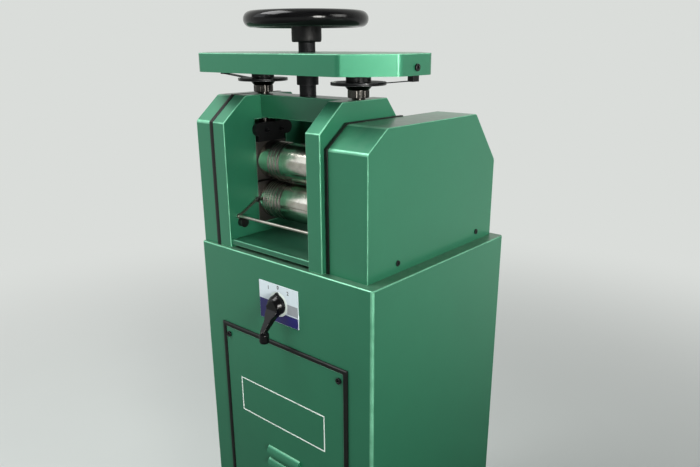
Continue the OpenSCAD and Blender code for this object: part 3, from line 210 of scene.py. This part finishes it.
def moulded_black(name, deep, pale, gloss, grain, depth, hub=None):
    # A black moulding: phenolic, nylon or rubber with a skin as smooth as its mould, slightly
    # uneven in gloss from handling, and with a fine grain where the mould wasn't polished. hub is
    # the axis and the radius of a boss that was turned after moulding and has lost its gloss.
    material, tree, shader = finish(name, {"IOR": 1.5, "Specular IOR Level": 0.2})
    place = add(tree, "ShaderNodeTexCoord").outputs["Object"]
    # hands leave patches about 18 mm wide
    handled = add(tree, "ShaderNodeTexNoise", {"Vector": place, "Scale": every(18),
                                               "Detail": 4.0}).outputs["Fac"]
    tone = add(tree, "ShaderNodeMix", {SHARE: handled, FIRST: linear(deep), SECOND: linear(pale)},
               data_type="RGBA")
    tree.links.new(tone.outputs[MIXED], shader.inputs["Base Color"])
    rough = add(tree, "ShaderNodeMapRange", {"Value": handled, "From Min": 0.3, "From Max": 0.7,
                                             "To Min": gloss - 0.05, "To Max": gloss + 0.07})
    if hub:
        x, y, radius = hub
        out = add(tree, "ShaderNodeVectorMath", {0: place, 1: (x * MM, y * MM, 0)},
                  operation="SUBTRACT")
        level = add(tree, "ShaderNodeVectorMath", {0: out.outputs[0], 1: (1, 1, 0)},
                    operation="MULTIPLY")
        far = add(tree, "ShaderNodeVectorMath", {0: level.outputs[0]}, operation="LENGTH")
        # the gloss comes back over the last 2 mm of the boss
        turned = add(tree, "ShaderNodeMapRange", {"Value": far.outputs["Value"],
                                                  "From Min": (radius - 2) * MM,
                                                  "From Max": radius * MM,
                                                  "To Min": 0.4, "To Max": 0.0})
        rough = add(tree, "ShaderNodeMath", {0: rough.outputs[0], 1: turned.outputs[0]},
                    operation="ADD")
    tree.links.new(rough.outputs[0], shader.inputs["Roughness"])
    skin = add(tree, "ShaderNodeTexNoise", {"Vector": place, "Scale": every(grain), "Detail": 2.0})
    bump = add(tree, "ShaderNodeBump", {"Height": skin.outputs["Fac"], "Strength": depth,
                                        "Distance": 0.2 * MM})
    tree.links.new(bump.outputs[0], shader.inputs["Normal"])
    return material


def cast_metal(name, deep, light, metallic, gloss, grain, depth):
    # Cast or rough machined metal: grainy, broken reflections and a tone that changes from patch
    # to patch.
    material, tree, shader = finish(name, {"Metallic": metallic})
    place = add(tree, "ShaderNodeTexCoord").outputs["Object"]
    sand = add(tree, "ShaderNodeTexNoise", {"Vector": place, "Scale": every(grain),
                                            "Detail": 5.0}).outputs["Fac"]
    # patches are about 35 mm wide
    patch = add(tree, "ShaderNodeTexNoise", {"Vector": place, "Scale": every(35), "Detail": 3.0})
    tone = add(tree, "ShaderNodeMix", {SHARE: patch.outputs["Fac"], FIRST: linear(deep),
                                       SECOND: linear(light)}, data_type="RGBA")
    tree.links.new(tone.outputs[MIXED], shader.inputs["Base Color"])
    rough = add(tree, "ShaderNodeMapRange", {"Value": sand, "To Min": gloss - 0.1,
                                             "To Max": gloss + 0.15})
    tree.links.new(rough.outputs[0], shader.inputs["Roughness"])
    bump = add(tree, "ShaderNodeBump", {"Height": sand, "Strength": depth, "Distance": 0.3 * MM})
    tree.links.new(bump.outputs[0], shader.inputs["Normal"])
    return material


def screen_print(name, colour, faded, gloss):
    # Lacquer or ink screened on to a plate: flat, slightly uneven and a touch rubbed, with a satin
    # surface.
    material, tree, shader = finish(name, {"IOR": 1.48})
    place = add(tree, "ShaderNodeTexCoord").outputs["Object"]
    # rubbing shows in patches about 8 mm wide
    rub = add(tree, "ShaderNodeTexNoise", {"Vector": place, "Scale": every(8),
                                           "Detail": 4.0}).outputs["Fac"]
    tone = add(tree, "ShaderNodeMix", {SHARE: rub, FIRST: linear(colour), SECOND: linear(faded)},
               data_type="RGBA")
    tree.links.new(tone.outputs[MIXED], shader.inputs["Base Color"])
    rough = add(tree, "ShaderNodeMapRange", {"Value": rub, "To Min": gloss - 0.06,
                                             "To Max": gloss + 0.1})
    tree.links.new(rough.outputs[0], shader.inputs["Roughness"])
    return material


# Green paint of sheet and castings. The base plate and bridge beside the rolls take a darker copy
# of it with little dust: painted shade for the shade under the case. Motor and reducer have a
# plain grey without flake.
green = stoved_enamel("green_flake_enamel", "#266C50", "#2D7A5A", "#7FC7A4", "#B4B7AC",
                      dusty=0.3, gloss=0.42, flake=0.55)
shade_darkened_green = stoved_enamel("shade_darkened_green_enamel", "#1D5C43", "#24684D", "#5FA585", "#9EA79B",
                      dusty=0.06, gloss=0.4, flake=0.55)
grey = stoved_enamel("grey_stoved_enamel", "#555F64", "#626D73", "#8A9499", "#A9AFA4",
                     dusty=0.3, gloss=0.4, flake=0.0)

# Bright steel: the rolls are near mirrors, the screws are dark with oil, and drawn rod is duller
roll_steel = turned_steel("ground_roll_steel", "#8D897F", "#BDBAB2", "#7C7973", ACROSS,
                          pitch=1.6, gloss=0.16)
shaft_steel = turned_steel("turned_shaft_steel", "#94938E", "#C9C8C4", "#8A8984", UPRIGHT,
                           pitch=1.2, gloss=0.16)
screw_steel = turned_steel("oiled_screw_steel", "#1F1E1D", "#4A4845", "#262524", UPRIGHT,
                           pitch=1.2, gloss=0.14)
rod_steel = turned_steel("drawn_rod_steel", "#7C7972", "#A8A59D", "#7C7972", ACROSS,
                         pitch=2.0, gloss=0.3, marks=0.05)

# Rough metal: gears and plates, cast pulleys, and the bearing blocks with their oily film
machined = cast_metal("milled_steel", "#6E7073", "#86888B", metallic=1.0, gloss=0.38, grain=1.2,
                      depth=0.12)
iron = cast_metal("cast_iron", "#2B2B2C", "#39393A", metallic=0.6, gloss=0.5, grain=1.8, depth=0.35)
block_iron = cast_metal("milled_block_iron", "#454240", "#57534F", metallic=0.8, gloss=0.42,
                        grain=1.6, depth=0.2)

# Blacked steel: screws and dials with an oily sheen, brackets and centre shaft without it
black = blacked_steel("oxide_blacked_steel", "#161718", "#6A6B6D", gloss=0.34)
dull_black = blacked_steel("dull_blacked_steel", "#17181A", "#3E3F41", gloss=0.58)

# Black mouldings: the handwheel has the highest gloss, the lever less, and rubber is the dullest
wheel_low, wheel_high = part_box("handwheel")
wheel_mid = (wheel_low + wheel_high) / 2 / MM
WHEEL_BOSS_R = 30
phenolic = moulded_black("wheel_phenolic", "#060607", "#0B0B0C", gloss=0.14, grain=9.0, depth=0.02,
                         hub=(wheel_mid.x, wheel_mid.y, WHEEL_BOSS_R))
nylon = moulded_black("black_nylon", "#050506", "#0A0A0B", gloss=0.2, grain=1.4, depth=0.06)
rubber = moulded_black("black_rubber", "#0A0B0A", "#121312", gloss=0.34, grain=0.9, depth=0.06)

# Lacquer of the switch plate, and the inks on it and on the access panel
plate_white = screen_print("white_plate_lacquer", "#B9C6CD", "#C4D0D6", gloss=0.3)
ink_white = screen_print("white_screen_ink", "#CBD8D2", "#DCE6E1", gloss=0.45)
ink_blue = screen_print("blue_screen_ink", "#15124F", "#1E1B60", gloss=0.35)
ink_grey = screen_print("grey_screen_ink", "#7F8489", "#8E9398", gloss=0.4)
ink_black = screen_print("black_screen_ink", "#0F1013", "#1E2024", gloss=0.45)

FINISH_OF = {
    "green_enamel": green, "grey_enamel": grey, "bare_steel": machined,
    "polished_steel": shaft_steel, "black_steel": black, "rubber": rubber, "cast_iron": iron,
    "black_plastic": nylon, "bakelite": phenolic, "printed_plate": plate_white,
}
# nodes that differ from the others of their slot
OWN_FINISH = {
    "lower_roll": roll_steel, "upper_roll": roll_steel, "guard_bar": rod_steel,
    "pinion_shaft": rod_steel, "output_shaft": rod_steel, "left_screw": screw_steel,
    # the base plate and bridge take the darker green, painted shade under the case
    "right_screw": screw_steel, "base_plate": shade_darkened_green, "bridge": shade_darkened_green,
    "bracket_bolts": dull_black, "lift_brackets": dull_black, "centre_shaft": dull_black,
    "upper_bearing_blocks": block_iron, "lower_bearing_blocks": block_iron,
}


# Making pieces

def finish_of(node):
    """The material of a node: its own, or else that of its slot."""
    return OWN_FINISH.get(node, FINISH_OF[SLOT_OF[node]])


def settled(piece):
    """Turns a piece's modifiers into plain mesh."""
    depsgraph = bpy.context.evaluated_depsgraph_get()
    plain = bpy.data.meshes.new_from_object(piece.evaluated_get(depsgraph))
    piece.modifiers.clear()
    piece.data = plain


def fitted(piece, material, body, slot, *nodes):
    """Gives a finished piece its material and its body, and hides the nodes that it stands for. The
    slot is not used.
    """
    piece.data.materials.clear()
    piece.data.materials.append(material)
    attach(piece, body)
    if nodes:
        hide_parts(*nodes)


def stand_in(piece, node):
    """Fits a finished copy of a node with that node's material and body, and hides the node."""
    fitted(piece, finish_of(node), BODY_OF[node], SLOT_OF[node], node)


def new_piece(name, bm):
    """A piece at the origin from a mesh under work, which is given up."""
    mesh = bpy.data.meshes.new(name)
    bm.to_mesh(mesh)
    bm.free()
    piece = bpy.data.objects.new(name, mesh)
    scene.collection.objects.link(piece)
    return piece


WELD = 0.001 * MM
FLAT = math.radians(0.2)


def welded(node):
    """A copy of a node's solid with its corners welded and its flat faces in one piece."""
    bm = bmesh.new()
    bm.from_mesh(frame["nodes"][node].data)
    bmesh.ops.remove_doubles(bm, verts=bm.verts, dist=WELD)
    bmesh.ops.dissolve_limit(bm, angle_limit=FLAT, verts=bm.verts, edges=bm.edges)
    return bm


def ridges(bm, angle):
    """The edges that stand out by more than an angle in degrees."""
    return [edge for edge in bm.edges if len(edge.link_faces) == 2
            and edge.calc_face_angle_signed() > math.radians(angle)]


def rounded(bm, edges, width):
    """Rounds edges to a width in millimetres, and gives the faces that this makes."""
    made = bmesh.ops.bevel(bm, geom=edges, offset=width * MM, offset_type="OFFSET", segments=3,
                           profile=0.5, affect="EDGES", clamp_overlap=True)
    return made["faces"]


def shaded(bm, angle):
    """Shades a mesh smooth, except at edges of an angle in degrees or more."""
    for face in bm.faces:
        face.smooth = True
    for edge in bm.edges:
        edge.smooth = len(edge.link_faces) == 2 and edge.calc_face_angle() < math.radians(angle)


SHARP = 28
# edges rounded to this width or more are not painted lighter; narrower ones get the lighter
# edge of wear and painted highlight
WIDE_FOLD = 4


def eased(node, *passes, corner=None):
    """A copy of a node with its outer edges rounded as the maker eased or folded them. Each pass
    is a width in millimetres and the test that an edge has to meet. corner tells by their normals
    the faces of a folded corner. Narrow rounded edges and those corner faces are marked to be
    painted lighter: edge wear, and a painted highlight along them."""
    bm = welded(node)
    wear_and_highlight = bm.loops.layers.float.new("eased_edge")
    for width, chosen in passes:
        edges = [edge for edge in ridges(bm, SHARP) if chosen(edge)]
        for face in rounded(bm, edges, width):
            for loop in face.loops:
                loop[wear_and_highlight] = 1.0 if width < WIDE_FOLD else 0.0
    bm.normal_update()
    # faces of a folded corner are painted lighter too, a painted highlight down the corner
    if corner:
        for face in bm.faces:
            if corner(face.normal):
                for loop in face.loops:
                    loop[wear_and_highlight] = 1.0
    shaded(bm, SHARP)
    piece = new_piece(node + "_finished", bm)
    piece.modifiers.new("even_normals", "WEIGHTED_NORMAL").keep_sharp = True
    settled(piece)
    stand_in(piece, node)


def moulded(node, voxel, passes, waist=None):
    """A copy of a node with every inner and outer corner run smooth, as a moulding's are. voxel is
    the fineness in millimetres. waist gives the share of its width that the piece keeps at a
    height."""
    piece = new_piece(node + "_finished", welded(node))
    remesh = piece.modifiers.new("mould", "REMESH")
    remesh.mode = "VOXEL"
    remesh.voxel_size = voxel * MM
    remesh.use_smooth_shade = True
    smooth = piece.modifiers.new("run_smooth", "SMOOTH")
    smooth.factor = 0.5
    smooth.iterations = passes
    settled(piece)
    if waist:
        for vert in piece.data.vertices:
            vert.co.x *= waist(vert.co.z)
    stand_in(piece, node)


TRIM_EDGE = 0.4
TRIM_SQUARE = 60
TRIM_SHARP = 35


def edge_trim(node, width, back=None):
    """A rubber trim that laps over both sheet edges beside it to the width given, and ends at
    y = back where that is given."""
    bm = welded(node)
    low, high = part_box(node)
    mid = (low.x + high.x) / 2
    for vert in bm.verts:
        vert.co.x = mid + math.copysign(width / 2 * MM, vert.co.x - mid)
    if back is not None:
        cut = bmesh.ops.bisect_plane(bm, geom=bm.verts[:] + bm.edges[:] + bm.faces[:],
                                     plane_co=(0, back * MM, 0), plane_no=(0, 1, 0),
                                     clear_outer=True)
        ends = [part for part in cut["geom_cut"] if isinstance(part, bmesh.types.BMEdge)]
        bmesh.ops.holes_fill(bm, edges=ends)
        bmesh.ops.recalc_face_normals(bm, faces=bm.faces)
    rounded(bm, ridges(bm, TRIM_SQUARE), TRIM_EDGE)
    shaded(bm, TRIM_SHARP)
    stand_in(new_piece(node + "_finished", bm), node)


def printed(name, outer, inner, back, proud, material, slot):
    """A thin print on a front face: an outline in x and z, with a hole of as many points where
    inner is given, from the face at y = back forward by proud."""
    bm = bmesh.new()
    rows = []
    for y in (back, back - proud):
        rows.append([[bm.verts.new((x * MM, y * MM, z * MM)) for x, z in loop]
                     for loop in (outer, inner) if loop])
    count = len(outer)
    for i in range(count):
        j = (i + 1) % count
        for rear, front in zip(*rows):
            bm.faces.new((rear[i], rear[j], front[j], front[i]))
        if inner:
            for row in rows:
                bm.faces.new((row[0][i], row[0][j], row[1][j], row[1][i]))
    if not inner:
        for row in rows:
            bm.faces.new(row[0])
    bmesh.ops.recalc_face_normals(bm, faces=bm.faces)
    fitted(new_piece(name, bm), material, "frame", slot)


def rectangle(x0, z0, x1, z1):
    return [(x0, z0), (x1, z0), (x1, z1), (x0, z1)]


def circle(x, z, r, count=48):
    turns = [2 * math.pi * i / count for i in range(count)]
    return [(x + r * math.cos(turn), z + r * math.sin(turn)) for turn in turns]


def lettered(name, marks, size, bold, thick, material, slot):
    """Plain figures as one mesh. Each mark is its text and the matrix that puts it in place, in
    millimetres. bold is how far its strokes are widened."""
    bm = bmesh.new()
    for text, place in marks:
        curve = bpy.data.curves.new(name, "FONT")
        curve.body = text
        curve.size = size
        curve.align_x = "CENTER"
        curve.align_y = "CENTER"
        curve.extrude = thick / 2
        curve.resolution_u = 3
        curve.offset = bold
        writing = bpy.data.objects.new(name + "_text", curve)
        scene.collection.objects.link(writing)
        depsgraph = bpy.context.evaluated_depsgraph_get()
        mesh = bpy.data.meshes.new_from_object(writing.evaluated_get(depsgraph))
        mesh.transform(Matrix.Scale(MM, 4) @ place)
        bm.from_mesh(mesh)
        bpy.data.objects.remove(writing)
        bpy.data.meshes.remove(mesh)
    bmesh.ops.remove_doubles(bm, verts=bm.verts, dist=WELD)
    bmesh.ops.recalc_face_normals(bm, faces=bm.faces)
    fitted(new_piece(name, bm), material, "frame", slot)


def ring_tree(name, mark_kind, mark_sockets):
    """A Geometry Nodes tree that sets one mark many times round a circle, each turned to face
    outwards."""
    tree = bpy.data.node_groups.new(name, "GeometryNodeTree")
    tree.interface.new_socket("Geometry", in_out="OUTPUT", socket_type="NodeSocketGeometry")
    for label, kind in (("Count", "NodeSocketInt"), ("Radius", "NodeSocketFloat"),
                        ("Size", "NodeSocketVector"), ("Finish", "NodeSocketMaterial")):
        tree.interface.new_socket(label, in_out="INPUT", socket_type=kind)
    given = add(tree, "NodeGroupInput").outputs
    points = add(tree, "GeometryNodeMeshCircle", {"Vertices": given["Count"],
                                                  "Radius": given["Radius"]})
    mark = add(tree, mark_kind, mark_sockets)
    sized = add(tree, "GeometryNodeTransform", {"Geometry": mark.outputs[0],
                                                "Scale": given["Size"]})
    position = add(tree, "GeometryNodeInputPosition")
    outward = add(tree, "FunctionNodeAlignRotationToVector", {"Vector": position.outputs[0]},
                  axis="X")
    placed = add(tree, "GeometryNodeInstanceOnPoints", {"Points": points.outputs[0],
                                                        "Instance": sized.outputs[0],
                                                        "Rotation": outward.outputs[0]})
    real = add(tree, "GeometryNodeRealizeInstances", {"Geometry": placed.outputs[0]})
    painted = add(tree, "GeometryNodeSetMaterial", {"Geometry": real.outputs[0],
                                                    "Material": given["Finish"]})
    add(tree, "NodeGroupOutput", {"Geometry": painted.outputs[0]})
    return tree


def ringed(name, tree, count, radius, size, centre, material, body, slot):
    """The marks of a ring tree as one piece round a vertical axis, sizes in millimetres."""
    piece = bpy.data.objects.new(name, bpy.data.meshes.new(name))
    scene.collection.objects.link(piece)
    modifier = piece.modifiers.new("ring", "NODES")
    modifier.node_group = tree
    values = {"Count": count, "Radius": radius * MM, "Size": [s * MM for s in size],
              "Finish": material}
    for item in tree.interface.items_tree:
        if item.name in values:
            modifier[item.identifier] = values[item.name]
    settled(piece)
    piece.data.transform(Matrix.Translation(Vector(centre) * MM))
    fitted(piece, material, body, slot)


# The mill's own pieces: which edges are eased, and by how much

NEAR = 0.1 * MM
# facets of screw holes are shorter than the first, and those of the bores than the second
HOLE_FACET = 0.6 * MM
BORE_FACET = 3.2 * MM
# the outline of the cabinet's top lies this far in from its sides
CABINET_RIM = 6 * MM
ABOVE_CABINET = 1 * MM
# upright edges of the case that are longer than this are its folds
CASE_FOLD = 20 * MM
# and its top is pierced within this distance of its middle
CASE_HOLE = 60 * MM

cabinet_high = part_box("cabinet_shell")[1]
case_low, case_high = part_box("case_cover")
case_mid = (case_low + case_high) / 2
gasket_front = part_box("panel_gasket")[0].y
gear_cover_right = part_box("gear_cover")[1].x
left_cover_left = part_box("left_cover")[0].x


def middle(edge):
    return (edge.verts[0].co + edge.verts[1].co) / 2


def run(edge):
    return (edge.verts[1].co - edge.verts[0].co).normalized()


def any_edge(edge):
    return True


def outline_edge(edge):
    """Whether an edge is too long to be a facet of a bore."""
    return edge.calc_length() > BORE_FACET


def cabinet_rim(edge):
    """Whether an edge is on the outline of the cabinet's top."""
    at = middle(edge)
    return at.z > cabinet_high.z - NEAR and (abs(at.x) > cabinet_high.x - CABINET_RIM
                                             or abs(at.y) > cabinet_high.y - CABINET_RIM)


def folded_corner(normal):
    """Whether a face that looks this way belongs to an upright corner."""
    return min(abs(normal.x), abs(normal.y)) > 0.15 and abs(normal.z) < 0.1


def above_cabinet(edge):
    return middle(edge).z > cabinet_high.z + ABOVE_CABINET


def cover_fold(edge):
    """Whether an edge runs across a cover between two of its faces."""
    return abs(run(edge).x) > 0.9 and above_cabinet(edge)


def gear_cover_rim(edge):
    return (middle(edge).x > gear_cover_right - NEAR and above_cabinet(edge)
            and edge.calc_length() > HOLE_FACET)


def left_cover_rim(edge):
    return (middle(edge).x < left_cover_left + NEAR and above_cabinet(edge)
            and edge.calc_length() > HOLE_FACET)


def case_fold(edge):
    return abs(run(edge).z) > 0.9 and edge.calc_length() > CASE_FOLD


def case_rim(edge):
    """Whether an edge is on the outline of the case's top."""
    at = middle(edge)
    return at.z > case_high.z - NEAR and (at - case_mid).xy.length > CASE_HOLE


def gasket_face(edge):
    return middle(edge).y < gasket_front + NEAR


def roll_edge(edge):
    """Whether an edge goes round a roll at a square corner."""
    return abs(run(edge).x) < 0.1 and edge.calc_face_angle() > math.radians(80)


# the cabinet's upright corners are painted lighter, a painted highlight down each corner
eased("cabinet_shell", (1.8, cabinet_rim), corner=folded_corner)
eased("gear_cover", (3.0, cover_fold), (1.6, gear_cover_rim))
eased("left_cover", (3.0, cover_fold), (1.6, left_cover_rim))
eased("case_cover", (5.0, case_fold), (1.4, case_rim))
eased("panel_gasket", (2.6, gasket_face))
eased("lower_roll", (0.8, roll_edge))
eased("upper_roll", (0.8, roll_edge))

# bores stay sharp in these, so that they don't hold back the rounding of the outer edges
OUTLINE_EASED_BY = {
    "left_column": 1.3, "right_column": 1.3, "bridge": 1.2, "base_plate": 1.4, "rear_guard": 0.6,
    "access_panel": 0.6, "case_plate": 0.8, "lower_bearing_blocks": 0.8,
    "upper_bearing_blocks": 0.8,
}
for name, width in OUTLINE_EASED_BY.items():
    eased(name, (width, outline_edge))
EASED_BY = {
    "panel_screws": 0.6, "cover_screws": 0.4, "case_screws": 0.4, "lift_brackets": 1.2,
    "bracket_bolts": 0.6, "dial_pointers": 0.3, "centre_shaft": 0.8, "wheel_nut": 0.8,
    "left_screw": 0.5, "right_screw": 0.5, "left_dial": 0.8, "right_dial": 0.8, "guard_bar": 0.5,
    "guard_pivots": 0.5, "guard_stops": 0.8, "switch_plate": 0.4, "cable_gland": 0.6,
}
for name, width in EASED_BY.items():
    eased(name, (width, any_edge))

# rubber trims: the left one goes right round its cover, the right one ends behind the column
edge_trim("left_cover_trim", width=8.5)
edge_trim("gear_cover_trim", width=6.5, back=7)

moulded("handwheel", voxel=1.5, passes=14)

# The lever's arm is narrowest between knob and grip: by this share, and between these distances
# down from the top of the knob
WAIST = 0.36
WAIST_START = (32, 42)
WAIST_END = (56, 62)
lever_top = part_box("switch_lever")[1].z


def rise(low, high, value):
    """0 below low, 1 above high and a smooth rise between them."""
    t = min(max((value - low) / (high - low), 0.0), 1.0)
    return t * t * (3 - 2 * t)


def arm_waist(z):
    """The share of its width that the lever keeps at a height."""
    down = (lever_top - z) / MM
    return 1 - WAIST * rise(*WAIST_START, down) * (1 - rise(*WAIST_END, down))


moulded("switch_lever", voxel=0.7, passes=6, waist=arm_waist)

for name, solid in frame["nodes"].items():
    solid.data.materials.clear()
    solid.data.materials.append(finish_of(name))

# The printed face of the switch plate: a white plate with a blue field, a grey field and a ring
INK = 0.1
MARGIN = 0.5
plate_low, plate_high = (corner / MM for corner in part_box("switch_plate"))
face = plate_low.y
left, right = -plate_high.x + MARGIN, plate_high.x - MARGIN
bottom = plate_low.z + MARGIN
switch_z = (plate_low.z + plate_high.z) / 2
blue_top, blue_step = switch_z + 2, switch_z - 14
printed("switch_plate_blue",
        [(left, bottom), (right, bottom), (right, blue_step), (0, blue_step), (0, blue_top),
         (left, blue_top)],
        None, face, INK, ink_blue, "printed_plate")
grey_left, grey_low, grey_high = 20, switch_z - 12, switch_z + 5
printed("switch_plate_grey", rectangle(grey_left, grey_low, right, grey_high), None, face, INK,
        ink_grey, "printed_plate")
RING_R, RING_HOLE_R, RING_INK = 20.5, 15, 0.16
printed("switch_plate_ring", circle(0, switch_z, RING_R), circle(0, switch_z, RING_HOLE_R), face,
        RING_INK, ink_white, "printed_plate")
# each figure with its distance to the right of the switch's axis and above it
FIGURES = (("1", -22, 23), ("0", 0, 27.5), ("2", 22, 23))
FIGURE_LIFT = 0.05
upright = Matrix.Rotation(math.pi / 2, 4, "X")
lettered("switch_figures",
         [(text, Matrix.Translation((x, face - FIGURE_LIFT, switch_z + up)) @ upright)
          for text, x, up in FIGURES],
         size=8.5, bold=0.25, thick=0.12, material=ink_black, slot="printed_plate")

# The plain white frame painted on the access panel, which lies behind the face of its gasket
GASKET_PROUD = 2
FRAME_LEFT, FRAME_LOW, FRAME_RIGHT, FRAME_HIGH = -103, 554, 96, 619
FRAME_LINE, FRAME_INK = 2, 0.12
printed("panel_outline", rectangle(FRAME_LEFT, FRAME_LOW, FRAME_RIGHT, FRAME_HIGH),
        rectangle(FRAME_LEFT + FRAME_LINE, FRAME_LOW + FRAME_LINE,
                  FRAME_RIGHT - FRAME_LINE, FRAME_HIGH - FRAME_LINE),
        gasket_front / MM + GASKET_PROUD, FRAME_INK, ink_white, "green_enamel")

# Graduated dials with knurled hubs on the adjusting screws, and the flutes of the sleeve below
# each dial, from its lower end up to the flare
DIAL_FACE = 4.5
HUB_R = 18
HUB_MARGIN = 2
SLEEVE_R = 15.4
SLEEVE_BELOW = 12.3
tick_tree = ring_tree("dial_ticks", "GeometryNodeMeshCube", {})
ridge_tree = ring_tree("knurl_ridges", "GeometryNodeMeshCylinder",
                       {"Vertices": 6, "Radius": 0.5, "Depth": 1.0})
for side in ("left", "right"):
    low, high = (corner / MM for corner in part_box(side + "_dial"))
    x, y = (low.x + high.x) / 2, (low.y + high.y) / 2
    rim = (high.x - low.x) / 2
    face, top = low.z + DIAL_FACE, high.z
    body = side + "_screw_set"
    ringed(side + "_dial_ticks", tick_tree, count=60, radius=rim - 2.6, size=(2.4, 0.4, 0.12),
           centre=(x, y, face), material=ink_white, body=body, slot="printed_plate")
    ringed(side + "_dial_long_ticks", tick_tree, count=12, radius=rim - 3.6, size=(4.4, 0.6, 0.16),
           centre=(x, y, face), material=ink_white, body=body, slot="printed_plate")
    ringed(side + "_sleeve_flutes", ridge_tree, count=30, radius=SLEEVE_R, size=(1.2, 1.7, 9.6),
           centre=(x, y, low.z - SLEEVE_BELOW), material=screw_steel, body=body,
           slot="polished_steel")
    ringed(side + "_hub_knurl", ridge_tree, count=60, radius=HUB_R,
           size=(0.9, 1.2, top - face - HUB_MARGIN), centre=(x, y, (top + face) / 2),
           material=black, body=body, slot="black_steel")


# Floor, light and camera

def lamp(name, place, aim, size, power, colour, spread=180):
    """A soft square lamp at a place in metres, turned to its aim, with its beam held in to a spread
    in degrees."""
    light = bpy.data.lights.new(name, "AREA")
    light.shape = "SQUARE"
    light.size = size
    light.energy = power
    light.color = linear(colour)[:3]
    light.spread = math.radians(spread)
    holder = bpy.data.objects.new(name, light)
    scene.collection.objects.link(holder)
    turn = (Vector(aim) - Vector(place)).to_track_quat("-Z", "Y").to_matrix().to_4x4()
    holder.matrix_world = Matrix.Translation(place) @ turn


BACKDROP = "#DADDDA"
# the level direction from the object to the side that it is seen from
SEEN_FROM = (0.8, -0.6, 0.0)
world = bpy.data.worlds.new("studio")
world.use_nodes = True
scene.world = world
sky = world.node_tree
sky.nodes.clear()
ray = add(sky, "ShaderNodeLightPath").outputs
direct = add(sky, "ShaderNodeMath", {0: ray["Is Camera Ray"], 1: ray["Is Transmission Ray"]},
             operation="MAXIMUM")
pale = add(sky, "ShaderNodeBackground", {"Color": linear(BACKDROP), "Strength": 1.0})
fill = add(sky, "ShaderNodeBackground", {"Color": linear("#E6EAEA"), "Strength": 0.2})
# what the object mirrors: a pale wall behind it, and a dimmer room on the side it is seen from
heading = add(sky, "ShaderNodeTexCoord").outputs["Generated"]
toward = add(sky, "ShaderNodeVectorMath", {0: heading, 1: SEEN_FROM}, operation="DOT_PRODUCT")
room = add(sky, "ShaderNodeMapRange", {"Value": toward.outputs["Value"], "From Min": -0.2,
                                       "From Max": 0.5, "To Min": 0.95, "To Max": 0.15},
           interpolation_type="SMOOTHSTEP")
mirrored = add(sky, "ShaderNodeBackground", {"Color": linear("#E4E6E2"),
                                             "Strength": room.outputs[0]})
soft = add(sky, "ShaderNodeMixShader", {0: ray["Is Glossy Ray"], 1: fill.outputs[0],
                                        2: mirrored.outputs[0]})
both = add(sky, "ShaderNodeMixShader", {0: direct.outputs[0], 1: soft.outputs[0],
                                        2: pale.outputs[0]})
add(sky, "ShaderNodeOutputWorld", {"Surface": both.outputs[0]})

# Pale floor that runs out into the backdrop's colour within a few metres
FLOOR_R = 30.0
FADE_FROM, FADE_TO = 0.6, 3.0
floor_bm = bmesh.new()
bmesh.ops.create_circle(floor_bm, cap_ends=True, radius=FLOOR_R, segments=96)
floor = new_piece("studio_floor", floor_bm)
paint, tree, shader = finish("pale_studio_floor", {"Roughness": 0.7})
place = add(tree, "ShaderNodeTexCoord").outputs["Object"]
# clouds in its tone are about 400 mm wide
cloud = add(tree, "ShaderNodeTexNoise", {"Vector": place, "Scale": every(400), "Detail": 2.0})
tone = add(tree, "ShaderNodeMix", {SHARE: cloud.outputs["Fac"], FIRST: linear("#D3D8D5"),
                                   SECOND: linear("#D8DDDA")}, data_type="RGBA")
# seen directly it is pale; what it throws back on to the object is that of a mid grey floor
seen = add(tree, "ShaderNodeLightPath").outputs["Is Camera Ray"]
colour = add(tree, "ShaderNodeMix", {SHARE: seen, FIRST: linear("#6B706D"),
                                     SECOND: tone.outputs[MIXED]}, data_type="RGBA")
tree.links.new(colour.outputs[MIXED], shader.inputs["Base Color"])
far = add(tree, "ShaderNodeVectorMath", {0: place}, operation="LENGTH")
fade = add(tree, "ShaderNodeMapRange", {"Value": far.outputs["Value"], "From Min": FADE_FROM,
                                        "From Max": FADE_TO}, interpolation_type="SMOOTHSTEP")
glow = add(tree, "ShaderNodeEmission", {"Color": linear(BACKDROP), "Strength": 1.0})
surface = add(tree, "ShaderNodeMixShader", {0: fade.outputs[0], 1: shader.outputs[0],
                                            2: glow.outputs[0]})
tree.links.new(surface.outputs[0], tree.nodes["Material Output"].inputs["Surface"])
floor.data.materials.append(paint)

lamp("ceiling_softbox", (-0.95, -1.2, 3.1), (0.0, -0.1, 0.95), size=1.5, power=82, colour="#FFFFFF")
lamp("key_softbox", (2.6, -1.12, 1.55), (0.0, 0.0, 1.28), size=2.1, power=17, colour="#FFFDF8",
     spread=26)
lamp("right_softbox", (1.5, 0.4, 1.7), (0.17, 0.0, 1.2), size=0.8, power=1.5, colour="#FFFEFA",
     spread=55)
lamp("left_softbox", (-2.0, -1.8, 2.25), (0.0, 0.0, 0.9), size=1.4, power=7.5, colour="#F4F9FF")

# The camera stands where the photograph was taken from, as fitted to the cabinet, covers and case
CAMERA_PLACE = Vector((711.7, -822.0, 1174.3)) * MM
yaw, pitch, roll = math.radians(41.26), math.radians(18.01), math.radians(-0.34)
camera = bpy.data.objects.new("camera", bpy.data.cameras.new("camera"))
scene.collection.objects.link(camera)
camera.data.sensor_width = 36
camera.data.lens = 33.459
camera.data.shift_y = 0.02857
ahead = Vector((-math.sin(yaw) * math.cos(pitch), math.cos(yaw) * math.cos(pitch),
                -math.sin(pitch)))
turn = ahead.to_track_quat("-Z", "Y").to_matrix().to_4x4() @ Matrix.Rotation(roll, 4, "Z")
camera.matrix_world = Matrix.Translation(CAMERA_PLACE) @ turn
scene.camera = camera
scene.view_settings.view_transform = "Standard"

bpy.context.view_layer.update()
